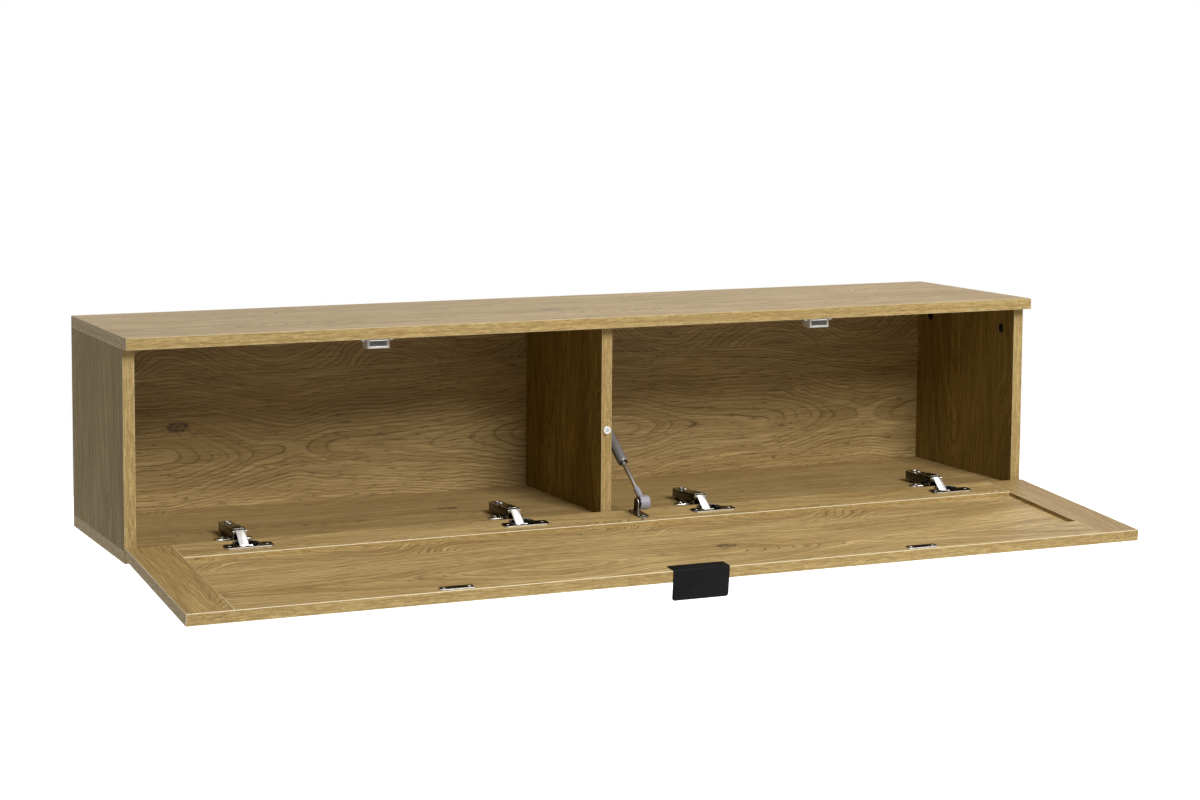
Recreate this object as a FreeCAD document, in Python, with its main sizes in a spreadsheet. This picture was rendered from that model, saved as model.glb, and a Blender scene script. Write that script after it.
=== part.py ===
import FreeCAD, Part
import math
import os
import Sketcher

# Wall-hung media console with one drop-down flap, modelled with the flap open.
# Frame: +X along the length (to the right), +Y towards the wall, +Z up, in millimetres.
# Origin: on the wall plane, midway between the inner holes of the steel wall rail.

DOC = FreeCAD.newDocument("FloatingMediaConsole")
SHEET = DOC.addObject("Spreadsheet::Sheet", "Sizes")
PARTS = {}

CASE_SIZES = [
    ("case_width", 1400, "length over the two side panels"),
    ("case_height", 300, "underside of the bottom panel to top face"),
    ("case_depth", 280, "wall plane to the front edge of the side panels"),
    ("top_overhang", 20, "top panel past the side panels, over the closed flap"),
    ("board", 16, "board thickness of the case"),
    ("back_thick", 4, "back panel"),
    ("back_inset", 15, "back panel to wall plane, room for the rails"),
    ("back_groove", 8, "depth of the grooves that hold the back panel"),
]
HANGING_SIZES = [
    ("rail_end_gap", 34, "ends of the hanging rails to the side panels"),
    ("rail_sheet", 2, "steel of the hanging rails"),
    ("rail_play", 1, "slack across the two hooked lips"),
    ("rail_edge_gap", 0.2, "case rail's lip to the wall, and wall rail's lip to the batten"),
    ("rail_lip", 14, "height of the wall rail's hooked lip"),
    ("rail_lip_gap", 2, "lip of the case rail above the wall rail's web"),
    ("rail_top_gap", 8, "case rail below the top panel"),
    ("case_rail_height", 24, "flat of the case rail above the hooking edge"),
    ("hook_line", 28, "hooking edge above the wall rail's holes"),
    ("wall_rail_drop", 12, "flat of the wall rail below its holes"),
    ("wall_hole_radius", 2.75, "holes for 5 mm wall screws"),
    ("wall_hole_inner", 400, "spacing of the inner pair of wall holes"),
    ("wall_hole_end", 50, "outer wall holes from the ends of the rail"),
    ("rail_screw_inner", 100, "first case rail screw from the middle"),
    ("rail_screw_end", 50, "outer case rail screws from the ends of the rail"),
    ("batten_height", 50, "strip behind the back panel that carries the case rail"),
]
JOINT_SIZES = [
    ("cam_radius", 7.5, "cam lock housing"),
    ("cam_skin", 3.5, "board left behind a cam lock"),
    ("cam_sunk", 0.8, "cam face below the board's face"),
    ("cam_drop", 34, "cam axis below the underside of the top panel"),
    ("joint_front", 34, "front cam and front confirmat screw from the front edge"),
    ("joint_rear", 54, "rear cam and rear confirmat screw from the wall plane"),
    ("bolt_radius", 3, "shank of the cam bolt"),
    ("bolt_skin", 5, "top panel left above a cam bolt"),
    ("bolt_bore", 3.9, "clearance bore for the cam bolt"),
    ("dowel_pitch", 64, "front to rear dowel, midway between the cams"),
    ("dowel_radius", 4, "beech dowel of the case joints"),
    ("dowel_in_panel", 10, "case dowel inside the top or bottom panel"),
    ("dowel_in_edge", 20, "case dowel inside the upright board"),
    ("batten_dowel_radius", 3, "beech dowel at the ends of the batten"),
    ("batten_dowel_length", 25, "whole length of a batten dowel"),
    ("batten_dowel_in_side", 10, "batten dowel inside the side panel"),
    ("batten_dowel_edge", 12, "batten dowel from the batten's long edges"),
    ("confirmat_head", 5, "confirmat screw head radius"),
    ("confirmat_head_deep", 3.5, "confirmat screw head height"),
    ("confirmat_shank", 3.5, "confirmat screw shank radius"),
    ("confirmat_length", 50, "confirmat screw"),
]
FLAP_SIZES = [
    ("open_angle", 95.5, "flap swing from closed to its open stop"),
    ("flap_gap", 6, "open flap in front of the side panels' front edges"),
    ("flap_lift", 6, "hinge edge of the open flap above the case floor"),
    ("closed_gap", 3, "closed flap in front of the front edges"),
    ("flap_top_gap", 2, "closed flap below the top panel"),
    ("flap_thick", 16, "frame of the flap"),
    ("stile_width", 62, "upright frame pieces"),
    ("hinge_rail_width", 58, "frame piece along the hinges"),
    ("handle_rail_width", 62, "frame piece along the handle"),
    ("panel_recess", 6, "centre panel below the frame on the inner face"),
    ("tongue_thick", 4, "tongues of the panel and rails"),
    ("tongue_length", 8, "tongues of the panel and rails"),
    ("tongue_face", 3, "tongue from the outer face of the flap"),
    ("groove_spare", 0.5, "groove deeper than the tongue"),
    ("groove_stop", 10, "stile groove stops this far from the stile's ends"),
]
HINGE_SIZES = [
    ("hinge_left_inset", 158.5, "first hinge from the left end"),
    ("hinge_inner_left", 141.5, "second hinge left of the middle"),
    ("hinge_inner_right", 151.5, "third hinge right of the middle"),
    ("hinge_right_inset", 148.5, "fourth hinge from the right end"),
    ("cup_radius", 17.5, "hinge cup"),
    ("cup_wall", 1.4, "wall of the hinge cup"),
    ("cup_deep", 11.5, "hinge cup"),
    ("cup_floor", 1, "floor of the hinge cup"),
    ("cup_centre", 21, "cup centre from the hinge edge of the flap"),
    ("flange_length", 68, "screw flange of the cup"),
    ("flange_width", 18, "screw flange of the cup"),
    ("flange_thick", 1.5, "screw flange of the cup"),
    ("flange_corner", 5, "corner radius of the screw flange"),
    ("rim_extra", 0.8, "rim past the cup's wall"),
    ("flange_screw_edge", 8, "cup screws from the ends of the flange"),
    ("gate_play", 0.6, "strap to each side of the opening in the cup's rim"),
    ("gate_reach", 8, "opening in the cup's rim, from the hinge edge of the flap"),
    ("gate_deep", 2.2, "opening in the cup's rim, below the inner face of the flap"),
    ("arm_width", 17, "hinge arm over its cheeks"),
    ("arm_sheet", 1.6, "steel of the hinge arm"),
    ("arm_reach", 72, "rear end of the arm from the front edges"),
    ("arm_rise", 17.2, "flat top of the arm above the floor"),
    ("arm_hump", 1.8, "raised front part of the arm"),
    ("arm_flat_front", 40, "front end of the flat top"),
    ("arm_slope", 6, "run of the slope behind the hump"),
    ("arm_brow", 12, "run of the slope from the hump down to the nose"),
    ("arm_chin", 9, "run of the lower edge up to the nose"),
    ("arm_skirt", 4.6, "lower edge of the cheeks above the floor"),
    ("arm_open_front", 7.5, "open end of the arm, where the strap turns"),
    ("arm_nose_radius", 3.2, "rounded cheek end about the pin"),
    ("pivot_back", 2, "arm pin behind the front edges"),
    ("pivot_rise", 15.5, "arm pin above the floor"),
    ("cup_pin_deep", 6, "cup pin below the inner face of the flap"),
    ("pin_radius", 1.5, "hinge pins"),
    ("pin_fit", 0.05, "running clearance round the hinge pins"),
    ("pin_proud", 0.8, "arm pin past each cheek"),
    ("cup_pin_length", 24.2, "pin across the cup"),
    ("strap_play", 0.6, "strap to each cheek"),
    ("strap_sheet", 1.4, "steel of the strap"),
    ("strap_eye", 3, "rolled eyes of the strap"),
    ("plate_line", 32, "screws of the mounting plate from the front edges"),
    ("plate_screw_edge", 11, "mounting plate screws from the tips of the wings"),
    ("plate_span", 54, "wings of the mounting plate, tip to tip"),
    ("plate_wing", 14, "width of a wing"),
    ("plate_thick", 1.6, "wings of the mounting plate"),
    ("spine_front", 9, "front end of the spine under the arm"),
    ("spine_rear", 5, "rear end of the spine inside the arm"),
    ("spine_play", 0.2, "spine to each cheek"),
    ("arm_screw_end", 11, "fixing screw from the rear end of the arm"),
    ("arm_screw_pitch", 12, "fixing screw to adjusting screw"),
]
SCREW_SIZES = [
    ("screw_radius", 1.75, "3.5 mm chipboard screw"),
    ("screw_head", 3.4, "head radius of the 3.5 mm screw"),
    ("screw_head_high", 1.8, "pan head"),
    ("screw_length", 13, "shank of the 3.5 mm screw"),
    ("short_screw_length", 9, "shank of the case rail screw"),
    ("recess_wide", 0.9, "arms of the cross recess"),
    ("recess_long", 3.6, "arms of the cross recess"),
    ("recess_deep", 0.9, "cross recess"),
    ("machine_screw_radius", 2, "screws of the hinge arm"),
    ("machine_screw_length", 9, "screws of the hinge arm"),
]
CATCH_SIZES = [
    ("catch_offset", 344, "catch centres from the middle"),
    ("catch_width", 32, "catch body"),
    ("catch_deep", 20, "catch body, front to back"),
    ("catch_mouth", 24.6, "opening of the catch"),
    ("catch_mouth_high", 10.5, "opening of the catch"),
    ("catch_sill", 1.8, "catch body below its opening"),
    ("catch_roof", 3, "catch body and ears above the opening"),
    ("catch_mouth_deep", 16, "opening of the catch, front to back"),
    ("ear_reach", 8.5, "screw ears past the catch body, with a screw in the middle of each"),
    ("ear_deep", 12, "screw ears, front to back"),
    ("ear_corner", 4, "corner radius of the screw ears"),
    ("pole_thick", 1.6, "steel pole plates"),
    ("pole_air", 0.2, "pole plates to the strike plate, flap closed"),
    ("magnet_length", 12, "magnet, front to back"),
    ("strike_length", 47, "strike plate"),
    ("strike_width", 13, "strike plate"),
    ("strike_thick", 1.6, "strike plate"),
    ("strike_corner", 4, "corner radius of the strike plate"),
    ("strike_edge", 2, "strike plate from the handle edge of the flap"),
    ("strike_screw_edge", 6.25, "screws from the ends of a strike plate"),
    ("bumper_radius", 5.8, "bumper on the divider's front edge"),
    ("bumper_air", 0.3, "bumper head to the flap, flap closed"),
    ("bumper_round", 0.9, "rounded rim of the bumper head"),
    ("bumper_stem", 2.5, "bumper stem in the divider"),
    ("bumper_stem_long", 9, "bumper stem in the divider"),
    ("bumper_height", 137, "bumper above the underside of the case"),
    ("bumper_screw_head", 2.6, "head radius of the bumper screw"),
    ("bumper_screw_high", 1, "head of the bumper screw"),
    ("bumper_screw_sunk", 1.5, "seat of the bumper screw below its face"),
    ("bumper_screw_shank", 1.4, "shank radius of the bumper screw"),
    ("bumper_screw_long", 15, "shank of the bumper screw"),
]
HANDLE_SIZES = [
    ("handle_length", 83, "handle tab along the flap"),
    ("handle_plate", 42, "plate of the handle tab"),
    ("handle_flange", 20, "flange on the inner face"),
    ("handle_sheet", 1.5, "steel of the handle tab"),
    ("handle_bend", 2.2, "outer bend radius"),
    ("handle_corner", 4, "corners of the plate"),
    ("handle_screw_edge", 8, "handle screws from the ends of the flange"),
    ("handle_screw_back", 9, "handle screws from the handle edge"),
    ("handle_screw_head", 3.2, "head radius of a handle screw"),
    ("handle_screw_high", 1.1, "head height of a handle screw"),
]
STRUT_SIZES = [
    ("strut_offset", 31.5, "strut axis from the divider's right face"),
    ("ball_along", 30.4, "lower ball from the hinge edge of the flap"),
    ("ball_rise", 18.5, "lower ball above the inner face of the flap"),
    ("strut_slope", 36.1, "strut above the horizontal, flap open"),
    ("strut_length", 230, "ball to ball, flap open"),
    ("rod_exposed", 52.4, "bright rod between lower socket and tube, flap open"),
    ("neck_reach", 26.4, "ball to the end of the socket's neck"),
    ("neck_radius", 4.6, "neck of a socket"),
    ("drum_radius", 10.2, "drum of a socket"),
    ("drum_length", 15, "drum of a socket"),
    ("drum_mouth", 7.4, "open side of the drum"),
    ("drum_mouth_deep", 7, "open side of the drum"),
    ("drum_round", 2, "rounded edge of the closed side"),
    ("ball_radius", 4, "ball studs"),
    ("ball_fit", 0.1, "clearance round the balls"),
    ("stud_radius", 2.6, "necks of the ball studs"),
    ("rod_radius", 3, "piston rod"),
    ("rod_seat", 10, "rod inside a socket's neck"),
    ("tube_radius", 7.4, "strut tube"),
    ("tube_wall", 1, "strut tube"),
    ("tube_seat", 6, "upper socket's plug inside the tube"),
    ("guide_length", 8, "rod guide in the tube's lower end"),
    ("guide_sunk", 0.6, "rod guide inside the tube's end"),
    ("guide_fit", 0.08, "clearance between rod and guide"),
    ("piston_length", 8, "piston on the rod"),
    ("piston_gap", 10, "piston behind the guide, flap open"),
    ("piston_fit", 0.1, "clearance between piston and tube"),
    ("foot_left", 11, "foot plate left of the strut axis"),
    ("foot_width", 16, "foot plate of the lower bracket"),
    ("foot_start", 6, "foot plate from the hinge edge of the flap"),
    ("foot_length", 41, "foot plate of the lower bracket"),
    ("foot_corner", 7, "corner radius of the foot plate"),
    ("bracket_sheet", 2, "steel of the strut brackets"),
    ("ear_radius", 7.1, "rounded ear that carries the lower ball"),
    ("foot_screw_edge", 7, "foot screws from the ends of the foot"),
    ("wall_plate_length", 60, "upper bracket on the divider"),
    ("wall_plate_width", 18, "upper bracket on the divider"),
    ("wall_plate_corner", 6, "corner radius of the upper bracket"),
    ("wall_plate_screw_edge", 7, "screws from the ends of the upper bracket"),
    ("stud_gap", 0.3, "upper stud's collar off its bracket"),
    ("collar_radius", 5.5, "collar of the upper stud"),
    ("collar_length", 12, "collar of the upper stud"),
]
ALL_SIZES = (
    CASE_SIZES + HANGING_SIZES + JOINT_SIZES + FLAP_SIZES + HINGE_SIZES
    + SCREW_SIZES + CATCH_SIZES + HANDLE_SIZES + STRUT_SIZES
)

# Expressions for the planes and edges that many pieces share.
LEFT = "(-Sizes.case_width / 2)"
RIGHT = "(Sizes.case_width / 2)"
FRONT = "(-Sizes.case_depth)"
SIDE_HEIGHT = "(Sizes.case_height - 2 * Sizes.board)"
CEILING = "(Sizes.hook_line + Sizes.case_rail_height + Sizes.rail_top_gap)"
FLOOR = f"({CEILING} - {SIDE_HEIGHT})"
UNDERSIDE = f"({FLOOR} - Sizes.board)"
BACK_FACE = "(-Sizes.back_inset - Sizes.back_thick)"
BATTEN_REAR = "(-2 * Sizes.rail_sheet - Sizes.rail_play)"
BATTEN_THICK = f"(Sizes.back_inset + {BATTEN_REAR})"
BATTEN_MIDDLE = f"({BATTEN_REAR} - {BATTEN_THICK} / 2)"
RAIL_LENGTH = "(Sizes.case_width - 2 * Sizes.board - 2 * Sizes.rail_end_gap)"
CAM_DEEP = "(Sizes.board - Sizes.cam_skin)"
BOLT_GRIP = "(Sizes.board - Sizes.bolt_skin)"
CATCH_HEIGHT = "(Sizes.catch_sill + Sizes.catch_mouth_high + Sizes.catch_roof)"
POLE_PROUD = "(Sizes.closed_gap - Sizes.strike_thick - Sizes.pole_air)"
BUMPER_HEAD = "(Sizes.closed_gap - Sizes.bumper_air)"
STRAP_WIDTH = "(Sizes.arm_width - 2 * Sizes.arm_sheet - 2 * Sizes.strap_play)"
ARM_SCREW_ROWS = (
    "(Sizes.arm_reach - Sizes.arm_screw_end)",
    "(Sizes.arm_reach - Sizes.arm_screw_end - Sizes.arm_screw_pitch)",
)
GUIDE_END = "(Sizes.guide_sunk + Sizes.guide_length)"
TUBE_START = "(Sizes.neck_reach + Sizes.rod_exposed)"
TUBE_END = "(Sizes.strut_length - Sizes.neck_reach)"
FLAP_HEIGHT = "(Sizes.case_height - Sizes.board - Sizes.flap_top_gap)"
PANEL_LENGTH = "(Sizes.case_width - 2 * Sizes.stile_width)"
TONGUE_SPAN = f"({PANEL_LENGTH} + 2 * Sizes.tongue_length)"
GROOVE_DEEP = "(Sizes.tongue_length + Sizes.groove_spare)"
UPRIGHT_CENTRES = (
    "(-Sizes.case_width / 2 + Sizes.board / 2)",
    "0",
    "(Sizes.case_width / 2 - Sizes.board / 2)",
)
HINGE_CENTRES = (
    "(-Sizes.case_width / 2 + Sizes.hinge_left_inset)",
    "(-Sizes.hinge_inner_left)",
    "(Sizes.hinge_inner_right)",
    "(Sizes.case_width / 2 - Sizes.hinge_right_inset)",
)
STRUT_X = "(Sizes.board / 2 + Sizes.strut_offset)"
SIDES = (("left", -1), ("right", 1))

# Distances of a pair of screws from the middle of the piece that they hold.
PLATE_SCREW = "(Sizes.plate_span / 2 - Sizes.plate_screw_edge)"
CUP_SCREW = "(Sizes.flange_length / 2 - Sizes.flange_screw_edge)"
CATCH_SCREW = "(Sizes.catch_width / 2 + Sizes.ear_reach / 2)"
STRIKE_SCREW = "(Sizes.strike_length / 2 - Sizes.strike_screw_edge)"
HANDLE_SCREW = "(Sizes.handle_length / 2 - Sizes.handle_screw_edge)"
BRACKET_SCREW = "(Sizes.wall_plate_length / 2 - Sizes.wall_plate_screw_edge)"
WALL_HOLES = {
    "inner": "(Sizes.wall_hole_inner / 2)",
    "outer": f"({RAIL_LENGTH} / 2 - Sizes.wall_hole_end)",
}

# How far a cutting tool runs past the open side of the piece it cuts.
PAST = "1"

TURNS = {
    "Z": FreeCAD.Rotation(),
    "-Z": FreeCAD.Rotation(FreeCAD.Vector(1, 0, 0), 180),
    "X": FreeCAD.Rotation(FreeCAD.Vector(0, 1, 0), 90),
    "-X": FreeCAD.Rotation(FreeCAD.Vector(0, 1, 0), -90),
    "Y": FreeCAD.Rotation(FreeCAD.Vector(1, 0, 0), -90),
    "-Y": FreeCAD.Rotation(FreeCAD.Vector(1, 0, 0), 90),
}
OPPOSITE = {"Z": "-Z", "-Z": "Z", "X": "-X", "-X": "X", "Y": "-Y", "-Y": "Y"}


def fill_sheet():
    """Write every driving size into the spreadsheet, with its alias and its note."""
    for row, (alias, value, note) in enumerate(ALL_SIZES, start=1):
        SHEET.set(f"A{row}", alias)
        SHEET.set(f"B{row}", str(value))
        SHEET.setAlias(f"B{row}", alias)
        SHEET.set(f"C{row}", note)
    DOC.recompute()


def size(alias):
    """Read one driving size from the spreadsheet."""
    return float(SHEET.get(alias))


# ---------------------------------------------------------------- building blocks

def move(piece, at):
    """Bind a piece's position to three expressions."""
    for axis, expression in zip("xyz", at):
        piece.setExpression(f"Placement.Base.{axis}", expression)


def box(name, lengths, at):
    """A box with its low corner at the given expressions."""
    piece = DOC.addObject("Part::Box", name)
    for side, expression in zip(("Length", "Width", "Height"), lengths):
        piece.setExpression(side, expression)
    move(piece, at)
    return piece


def cylinder(name, radius, height, at, along="Z"):
    """A cylinder that starts at a point and runs along an axis."""
    piece = DOC.addObject("Part::Cylinder", name)
    piece.setExpression("Radius", radius)
    piece.setExpression("Height", height)
    piece.Placement.Rotation = TURNS[along]
    move(piece, at)
    return piece


def cone(name, start_radius, end_radius, height, at, along="Z"):
    """A cone that starts at a point and runs along an axis."""
    piece = DOC.addObject("Part::Cone", name)
    piece.setExpression("Radius1", start_radius)
    piece.setExpression("Radius2", end_radius)
    piece.setExpression("Height", height)
    piece.Placement.Rotation = TURNS[along]
    move(piece, at)
    return piece


def sphere(name, radius, at):
    """A ball about a point."""
    piece = DOC.addObject("Part::Sphere", name)
    piece.setExpression("Radius", radius)
    move(piece, at)
    return piece


def fuse(name, pieces):
    """One solid from several that overlap or touch."""
    joined = DOC.addObject("Part::MultiFuse", name)
    joined.Shapes = pieces
    joined.Refine = True
    return joined


def cut(name, base, tools):
    """A solid with the tools taken away."""
    result = DOC.addObject("Part::Cut", name)
    result.Base = base
    result.Tool = tools[0] if len(tools) == 1 else fuse(f"{name}_tools", tools)
    return result


def group(name, pieces):
    """Separate solids that share one node."""
    together = DOC.addObject("Part::Compound", name)
    together.Links = pieces
    return together


def round_edges(name, base, radius, chosen):
    """Round the edges of a piece for which chosen(edge) is true."""
    DOC.recompute()
    rounded = DOC.addObject("Part::Fillet", name)
    rounded.Base = base
    edges = enumerate(base.Shape.Edges, start=1)
    rounded.Edges = [(index, radius, radius) for index, edge in edges if chosen(edge)]
    return rounded


def runs_along(axis):
    """A test for straight edges parallel to an axis."""
    def test(edge):
        if not isinstance(edge.Curve, Part.Line):
            return False
        return abs(abs(edge.Curve.Direction.dot(axis)) - 1) < 1e-6
    return test


def rounded_plate(name, lengths, at, radius):
    """A flat plate, thin along Z, with four rounded corners."""
    blank = box(f"{name}_blank", lengths, at)
    return round_edges(name, blank, radius, runs_along(FreeCAD.Vector(0, 0, 1)))


def plane_of(body, role):
    """One of a body's own origin planes."""
    return next(item for item in body.Origin.OriginFeatures if item.Role == role)


def outline(body, name, points):
    """A closed sketch of straight lines in a body's YZ plane, each corner bound to the sheet."""
    sketch = body.newObject("Sketcher::SketchObject", name)
    sketch.AttachmentSupport = [(plane_of(body, "YZ_Plane"), "")]
    sketch.MapMode = "FlatFace"
    count = len(points)
    for index in range(count):
        start = FreeCAD.Vector(index, 0, 0)
        sketch.addGeometry(Part.LineSegment(start, start + FreeCAD.Vector(1, 1, 0)), False)
    for index in range(count):
        sketch.addConstraint(Sketcher.Constraint("Coincident", index, 2, (index + 1) % count, 1))
    for index, (across, up) in enumerate(points):
        bind_corner(sketch, "DistanceX", index, across)
        bind_corner(sketch, "DistanceY", index, up)
    return sketch


def bind_corner(sketch, kind, index, expression):
    """Tie one coordinate of a sketch corner to an expression."""
    number = sketch.addConstraint(Sketcher.Constraint(kind, index, 1, 1.0))
    sketch.setExpression(f"Constraints[{number}]", expression)


def ring(body, name, radius, across, up):
    """A circle sketch in a body's YZ plane."""
    sketch = body.newObject("Sketcher::SketchObject", name)
    sketch.AttachmentSupport = [(plane_of(body, "YZ_Plane"), "")]
    sketch.MapMode = "FlatFace"
    circle = Part.Circle(FreeCAD.Vector(0, 0, 0), FreeCAD.Vector(0, 0, 1), 1)
    sketch.addGeometry(circle, False)
    number = sketch.addConstraint(Sketcher.Constraint("Radius", 0, 1.0))
    sketch.setExpression(f"Constraints[{number}]", radius)
    for kind, expression in (("DistanceX", across), ("DistanceY", up)):
        number = sketch.addConstraint(Sketcher.Constraint(kind, 0, 3, 1.0))
        sketch.setExpression(f"Constraints[{number}]", expression)
    return sketch


def pad(body, name, sketch, length):
    """Extrude a sketch both ways along X."""
    feature = body.newObject("PartDesign::Pad", name)
    feature.Profile = sketch
    feature.setExpression("Length", length)
    feature.Midplane = True
    return feature


def pocket(body, name, sketch, length):
    """Cut a sketch both ways along X."""
    feature = body.newObject("PartDesign::Pocket", name)
    feature.Profile = sketch
    feature.setExpression("Length", length)
    feature.Midplane = True
    return feature


def keep(piece, label, frame=None):
    """Name a finished sub-part and set it in its frame."""
    piece.Label = label
    if frame is not None:
        piece.Placement = frame
    PARTS[label] = piece
    return piece


# ---------------------------------------------------------------- screws

def cross_recess(name, at, along):
    """The tool that cuts a cross recess, centred on a head's outer face."""
    long, wide, deep = "Sizes.recess_long", "Sizes.recess_wide", "2 * Sizes.recess_deep"
    spans = {"X": (deep, long, wide), "Y": (long, deep, wide), "Z": (long, wide, deep)}
    other = {"X": (deep, wide, long), "Y": (wide, deep, long), "Z": (wide, long, deep)}
    arms = []
    for number, lengths in enumerate((spans[along[-1]], other[along[-1]])):
        corner = [f"{centre} - {length} / 2" for centre, length in zip(at, lengths)]
        arms.append(box(f"{name}_arm{number}", lengths, corner))
    return fuse(name, arms)


def shifted(at, along, distance):
    """A point moved by an expression along an axis."""
    sign = "-" if along.startswith("-") else "+"
    place = "XYZ".index(along[-1])
    moved = list(at)
    moved[place] = f"{at[place]} {sign} ({distance})"
    return moved


def pan_screw(name, at, along, length="Sizes.screw_length"):
    """A pan-head screw: at is the seat of its head, along is the way it is driven."""
    outward = OPPOSITE[along]
    head = cylinder(f"{name}_head", "Sizes.screw_head", "Sizes.screw_head_high", at, outward)
    shank = cylinder(f"{name}_shank", "Sizes.screw_radius", length, at, along)
    whole = fuse(f"{name}_whole", [head, shank])
    face = shifted(at, outward, "Sizes.screw_head_high")
    return cut(name, whole, [cross_recess(f"{name}_recess", face, along)])


def flat_screw(name, at, along, head_deep):
    """A countersunk screw: at is the middle of its flush head, along is the way it is driven."""
    head = cone(f"{name}_head", "Sizes.screw_head", "Sizes.screw_radius", head_deep, at, along)
    shank = cylinder(f"{name}_shank", "Sizes.screw_radius", "Sizes.screw_length", at, along)
    whole = fuse(f"{name}_whole", [head, shank])
    return cut(name, whole, [cross_recess(f"{name}_recess", at, along)])


def screw_hole(name, at, along, length="Sizes.screw_length", radius="Sizes.screw_radius"):
    """The hole that a screw's shank fills."""
    return cylinder(name, radius, length, at, along)


def sink(name, at, along, head_deep):
    """The countersink and clearance hole for a flat screw through a thin plate."""
    seat = cone(f"{name}_seat", "Sizes.screw_head", "Sizes.screw_radius", head_deep, at, along)
    hole = cylinder(f"{name}_hole", "Sizes.screw_radius", "Sizes.screw_length", at, along)
    return fuse(name, [seat, hole])


# ---------------------------------------------------------------- places that repeat

def joint_rows():
    """Depths of the front and rear cam or confirmat screw."""
    return [f"({FRONT} + Sizes.joint_front)", "(-Sizes.joint_rear)"]


def dowel_rows():
    """Depths of the front and rear dowel, either side of the middle between the cams."""
    front, rear = joint_rows()
    return [f"(({front} + {rear}) / 2 + {sign} * Sizes.dowel_pitch / 2)" for _, sign in SIDES]


def batten_dowel_heights():
    """Heights of the two dowels at each end of the batten."""
    low = f"({CEILING} - Sizes.batten_height + Sizes.batten_dowel_edge)"
    high = f"({CEILING} - Sizes.batten_dowel_edge)"
    return [low, high]


def case_rail_screw_places():
    """Positions of the case rail's screws along X."""
    outer = f"({RAIL_LENGTH} / 2 - Sizes.rail_screw_end)"
    places = []
    for _, sign in SIDES:
        for spot in ("Sizes.rail_screw_inner", f"(Sizes.rail_screw_inner + {outer}) / 2", outer):
            places.append(f"({sign} * {spot})")
    return places


def plate_screw_places():
    """Positions of the mounting plates' screws along X."""
    places = []
    for centre in HINGE_CENTRES:
        for _, sign in SIDES:
            places.append(f"({centre} + {sign} * {PLATE_SCREW})")
    return places


def cup_screw_places():
    """Positions of the cups' screws along X."""
    places = []
    for centre in HINGE_CENTRES:
        for _, sign in SIDES:
            places.append(f"({centre} + {sign} * {CUP_SCREW})")
    return places


def catch_screw_places():
    """Positions of the catches' screws along X."""
    places = []
    for _, side in SIDES:
        for _, sign in SIDES:
            places.append(f"({side} * Sizes.catch_offset + {sign} * {CATCH_SCREW})")
    return places


def strike_screw_places():
    """Positions of the strike plates' screws along X."""
    places = []
    for _, side in SIDES:
        for _, sign in SIDES:
            places.append(f"({side} * Sizes.catch_offset + {sign} * {STRIKE_SCREW})")
    return places


CATCH_SCREW_Y = f"({FRONT} + Sizes.ear_deep / 2)"
STRIKE_Y = f"(-{FLAP_HEIGHT} + Sizes.strike_edge + Sizes.strike_width / 2)"
FLANGE_FRONT = "(Sizes.cup_centre + Sizes.cup_radius + Sizes.rim_extra)"
CUP_SCREW_Y = f"(-{FLANGE_FRONT} + Sizes.flange_width / 2)"
HANDLE_SCREW_Y = f"(-{FLAP_HEIGHT} + Sizes.handle_screw_back)"
FOOT_X = f"({STRUT_X} - Sizes.foot_left + Sizes.foot_width / 2)"
FOOT_SCREW_ROWS = (
    "(-Sizes.foot_start - Sizes.foot_screw_edge)",
    "(-Sizes.foot_start - Sizes.foot_length + Sizes.foot_screw_edge)",
)


# ---------------------------------------------------------------- frames

def floor_height():
    """Height of the case's floor, read from the sheet's sizes."""
    ceiling = size("hook_line") + size("case_rail_height") + size("rail_top_gap")
    return ceiling - size("case_height") + 2 * size("board")


def flap_frame():
    """Frame of the open flap: origin on its hinge edge, -Y up the flap, +Z out of its inner face."""
    tilt = size("open_angle") - 90
    depth = -size("case_depth") - size("flap_gap")
    height = floor_height() + size("flap_lift")
    turn = FreeCAD.Rotation(FreeCAD.Vector(1, 0, 0), tilt)
    return FreeCAD.Placement(FreeCAD.Vector(0, depth, height), turn)


def arm_pin_point():
    """Point (Y, Z) of the arm pins."""
    depth = -size("case_depth") + size("pivot_back")
    height = floor_height() + size("pivot_rise")
    return FreeCAD.Vector(0, depth, height)


def cup_pin_along():
    """Distance of the cup pin from the hinge edge, so that one strap serves both ends of travel.

    The pin has to be as far from the arm pin with the flap open as with the flap shut.
    """
    arm = arm_pin_point()
    deep = -size("cup_pin_deep")
    opened = flap_frame()
    underside = floor_height() - size("board")
    shut_edge = FreeCAD.Vector(0, -size("case_depth") - size("closed_gap"), underside)
    to_open = arm - opened.Base
    to_shut = arm - shut_edge
    up_open = opened.Rotation.multVec(FreeCAD.Vector(0, -1, 0))
    out_open = opened.Rotation.multVec(FreeCAD.Vector(0, 0, 1))
    shut_side = to_shut.dot(to_shut) - 2 * deep * to_shut.y
    open_side = to_open.dot(to_open) - 2 * deep * to_open.dot(out_open)
    return (shut_side - open_side) / (2 * to_shut.z - 2 * to_open.dot(up_open))


def cup_pin_point():
    """Point of the cup pins in the open flap."""
    return flap_frame().multVec(FreeCAD.Vector(0, -cup_pin_along(), -size("cup_pin_deep")))


def strap_frame(centre):
    """Frame of one strap: origin on the arm pin, -Z towards the cup pin."""
    reach = cup_pin_point() - arm_pin_point()
    lean = math.degrees(math.atan2(reach.z, reach.y)) + 90
    origin = arm_pin_point() + FreeCAD.Vector(centre, 0, 0)
    return FreeCAD.Placement(origin, FreeCAD.Rotation(FreeCAD.Vector(1, 0, 0), lean))


def strap_reach():
    """Distance between the two pins."""
    return (cup_pin_point() - arm_pin_point()).Length


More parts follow.
